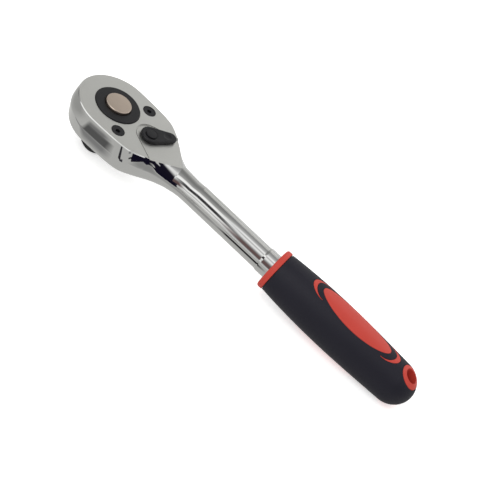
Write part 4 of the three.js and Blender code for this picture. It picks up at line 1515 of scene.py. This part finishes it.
    def cards(self):
        """Grey and dark cards, mirrored in the head's wall, the neck and the shank: they glow only
        in the chrome, as painted reflections.
        """
        for order, (name, centre, reach, heading, code, softness) in enumerate(FLOOR_CARDS):
            turn = math.radians(heading)
            lift = CARD_LIFT + CARD_SPACING * order
            place = FLOOR @ Matrix.Translation((*centre, lift)) @ Matrix.Rotation(turn, 4, "Z")
            paper, tree = blank_material(name)
            shown = self.soft_edges(tree, centre, turn, reach, softness)
            self.card(name, place @ Matrix.Diagonal((*reach, 1, 1)), paper, code, shown)
        for name, centre, reach, tilt, code in STANDING_CARDS:
            place = Matrix.Translation(centre)
            place @= Matrix.Rotation(QUARTER, 4, "Z") @ Matrix.Rotation(QUARTER, 4, "X")
            place @= Matrix.Rotation(math.radians(tilt), 4, "Z") @ Matrix.Diagonal((*reach, 1, 1))
            paper, tree = blank_material(name)
            # Only the side toward the head is dark, so that the shank behind doesn't mirror it
            toward_head = node(tree, "NewGeometry").outputs["Backfacing"]
            self.card(name, place, paper, code, toward_head)

    def soft_edges(self, tree, centre, turn, reach, softness):
        """1 in the middle of a card that lies on the floor, falling to 0 at its edges."""
        spot = node(
            tree,
            "Mapping",
            {
                "Vector": node(tree, "TexCoord").outputs["Object"],
                "Location": (*centre, 0),
                "Rotation": (0, 0, turn),
                "Scale": (*reach, 1),
            },
            vector_type="TEXTURE",
        )
        sides = node(tree, "SeparateXYZ", {0: spot.outputs[0]}).outputs
        shares = []
        for side, soft in zip(sides, softness):
            out = node(tree, "Math", {0: side}, operation="ABSOLUTE")
            share = node(tree, "MapRange", {0: out.outputs[0], 1: 1.0, 2: 1 - soft})
            shares.append(share.outputs[0])
        return node(tree, "Math", {0: shares[0], 1: shares[1]}, operation="MULTIPLY").outputs[0]

    def card(self, name, place, paper, code, shown):
        """A flat card of one colour that only the chrome sees, and only where it is shown."""
        tree = paper.node_tree
        clear = node(tree, "BsdfTransparent")
        glow = node(tree, "Emission", {"Color": linear(code), "Strength": CARD_STRENGTH})
        both = node(tree, "MixShader", {0: shown, 1: clear.outputs[0], 2: glow.outputs[0]})
        node(tree, "OutputMaterial", {"Surface": both.outputs[0]})
        bm = bmesh.new()
        bmesh.ops.create_grid(bm, x_segments=1, y_segments=1, size=1, matrix=place)
        self.backdrop(name, bm, paper, True)

    def lamps(self):
        """Two softboxes, one on the camera's side and one behind."""
        for name, place, width, power in LAMPS:
            data = bpy.data.lights.new(name, "AREA")
            data.size = width
            data.energy = power
            lamp = placed(name, data)
            lamp.location = place
            way = Vector(LAMP_TARGET) - Vector(place)
            lamp.rotation_euler = way.to_track_quat("-Z", "Y").to_euler()

    def camera(self, scene):
        """The photograph's camera."""
        azimuth, elevation, roll = (math.radians(a) for a in CAMERA_ANGLES)
        back = Vector(
            (
                math.sin(azimuth) * math.cos(elevation),
                -math.cos(azimuth) * math.cos(elevation),
                math.sin(elevation),
            )
        )
        level = Vector((math.cos(azimuth), math.sin(azimuth), 0))
        upright = back.cross(level)
        right = math.cos(roll) * level + math.sin(roll) * upright
        up = -math.sin(roll) * level + math.cos(roll) * upright
        data = bpy.data.cameras.new("studio_camera")
        data.lens = CAMERA_LENS
        data.sensor_width = CAMERA_SENSOR
        data.clip_start, data.clip_end = CAMERA_CLIP
        made = placed("studio_camera", data)
        turn = Matrix((right, up, back)).transposed().to_4x4()
        place = Vector(CAMERA_TARGET) + CAMERA_DISTANCE * back
        made.matrix_world = Matrix.Translation(place) @ turn
        scene.camera = made


class RATCHET_PT_sidebar(bpy.types.Panel):
    """Lists the ratchet's pieces, sizes and colours"""

    bl_idname = "RATCHET_PT_sidebar"
    bl_label = "Socket ratchet"
    bl_space_type = "VIEW_3D"
    bl_region_type = "UI"
    bl_category = "Ratchet"

    def draw(self, context):
        column = self.layout.column()
        for operator in OPERATORS:
            column.operator(operator.bl_idname)
        for group in (context.scene.ratchet_sizes, context.scene.ratchet_colours):
            for key in type(group).__annotations__:
                column.prop(group, key)


OPERATORS = (
    RATCHET_OT_forging,
    RATCHET_OT_cover,
    RATCHET_OT_drive,
    RATCHET_OT_button,
    RATCHET_OT_spring,
    RATCHET_OT_lever,
    RATCHET_OT_grip,
    RATCHET_OT_inner,
    RATCHET_OT_stage,
)
CLASSES = (RatchetSizes, RatchetColours, *OPERATORS, RATCHET_PT_sidebar)


def register():
    """Registers the classes and gives the scene its sizes and colours."""
    for cls in CLASSES:
        bpy.utils.register_class(cls)
    bpy.types.Scene.ratchet_sizes = PointerProperty(type=RatchetSizes)
    bpy.types.Scene.ratchet_colours = PointerProperty(type=RatchetColours)


def unregister():
    """Takes back what register did."""
    del bpy.types.Scene.ratchet_colours
    del bpy.types.Scene.ratchet_sizes
    for cls in reversed(CLASSES):
        bpy.utils.unregister_class(cls)


def main():
    """Builds the pieces and the stage."""
    register()
    bpy.ops.ratchet.forging()
    bpy.ops.ratchet.cover()
    bpy.ops.ratchet.drive()
    bpy.ops.ratchet.button()
    bpy.ops.ratchet.spring()
    bpy.ops.ratchet.lever()
    bpy.ops.ratchet.grip()
    bpy.ops.ratchet.inner()
    bpy.ops.ratchet.stage()


if __name__ == "__main__":
    main()
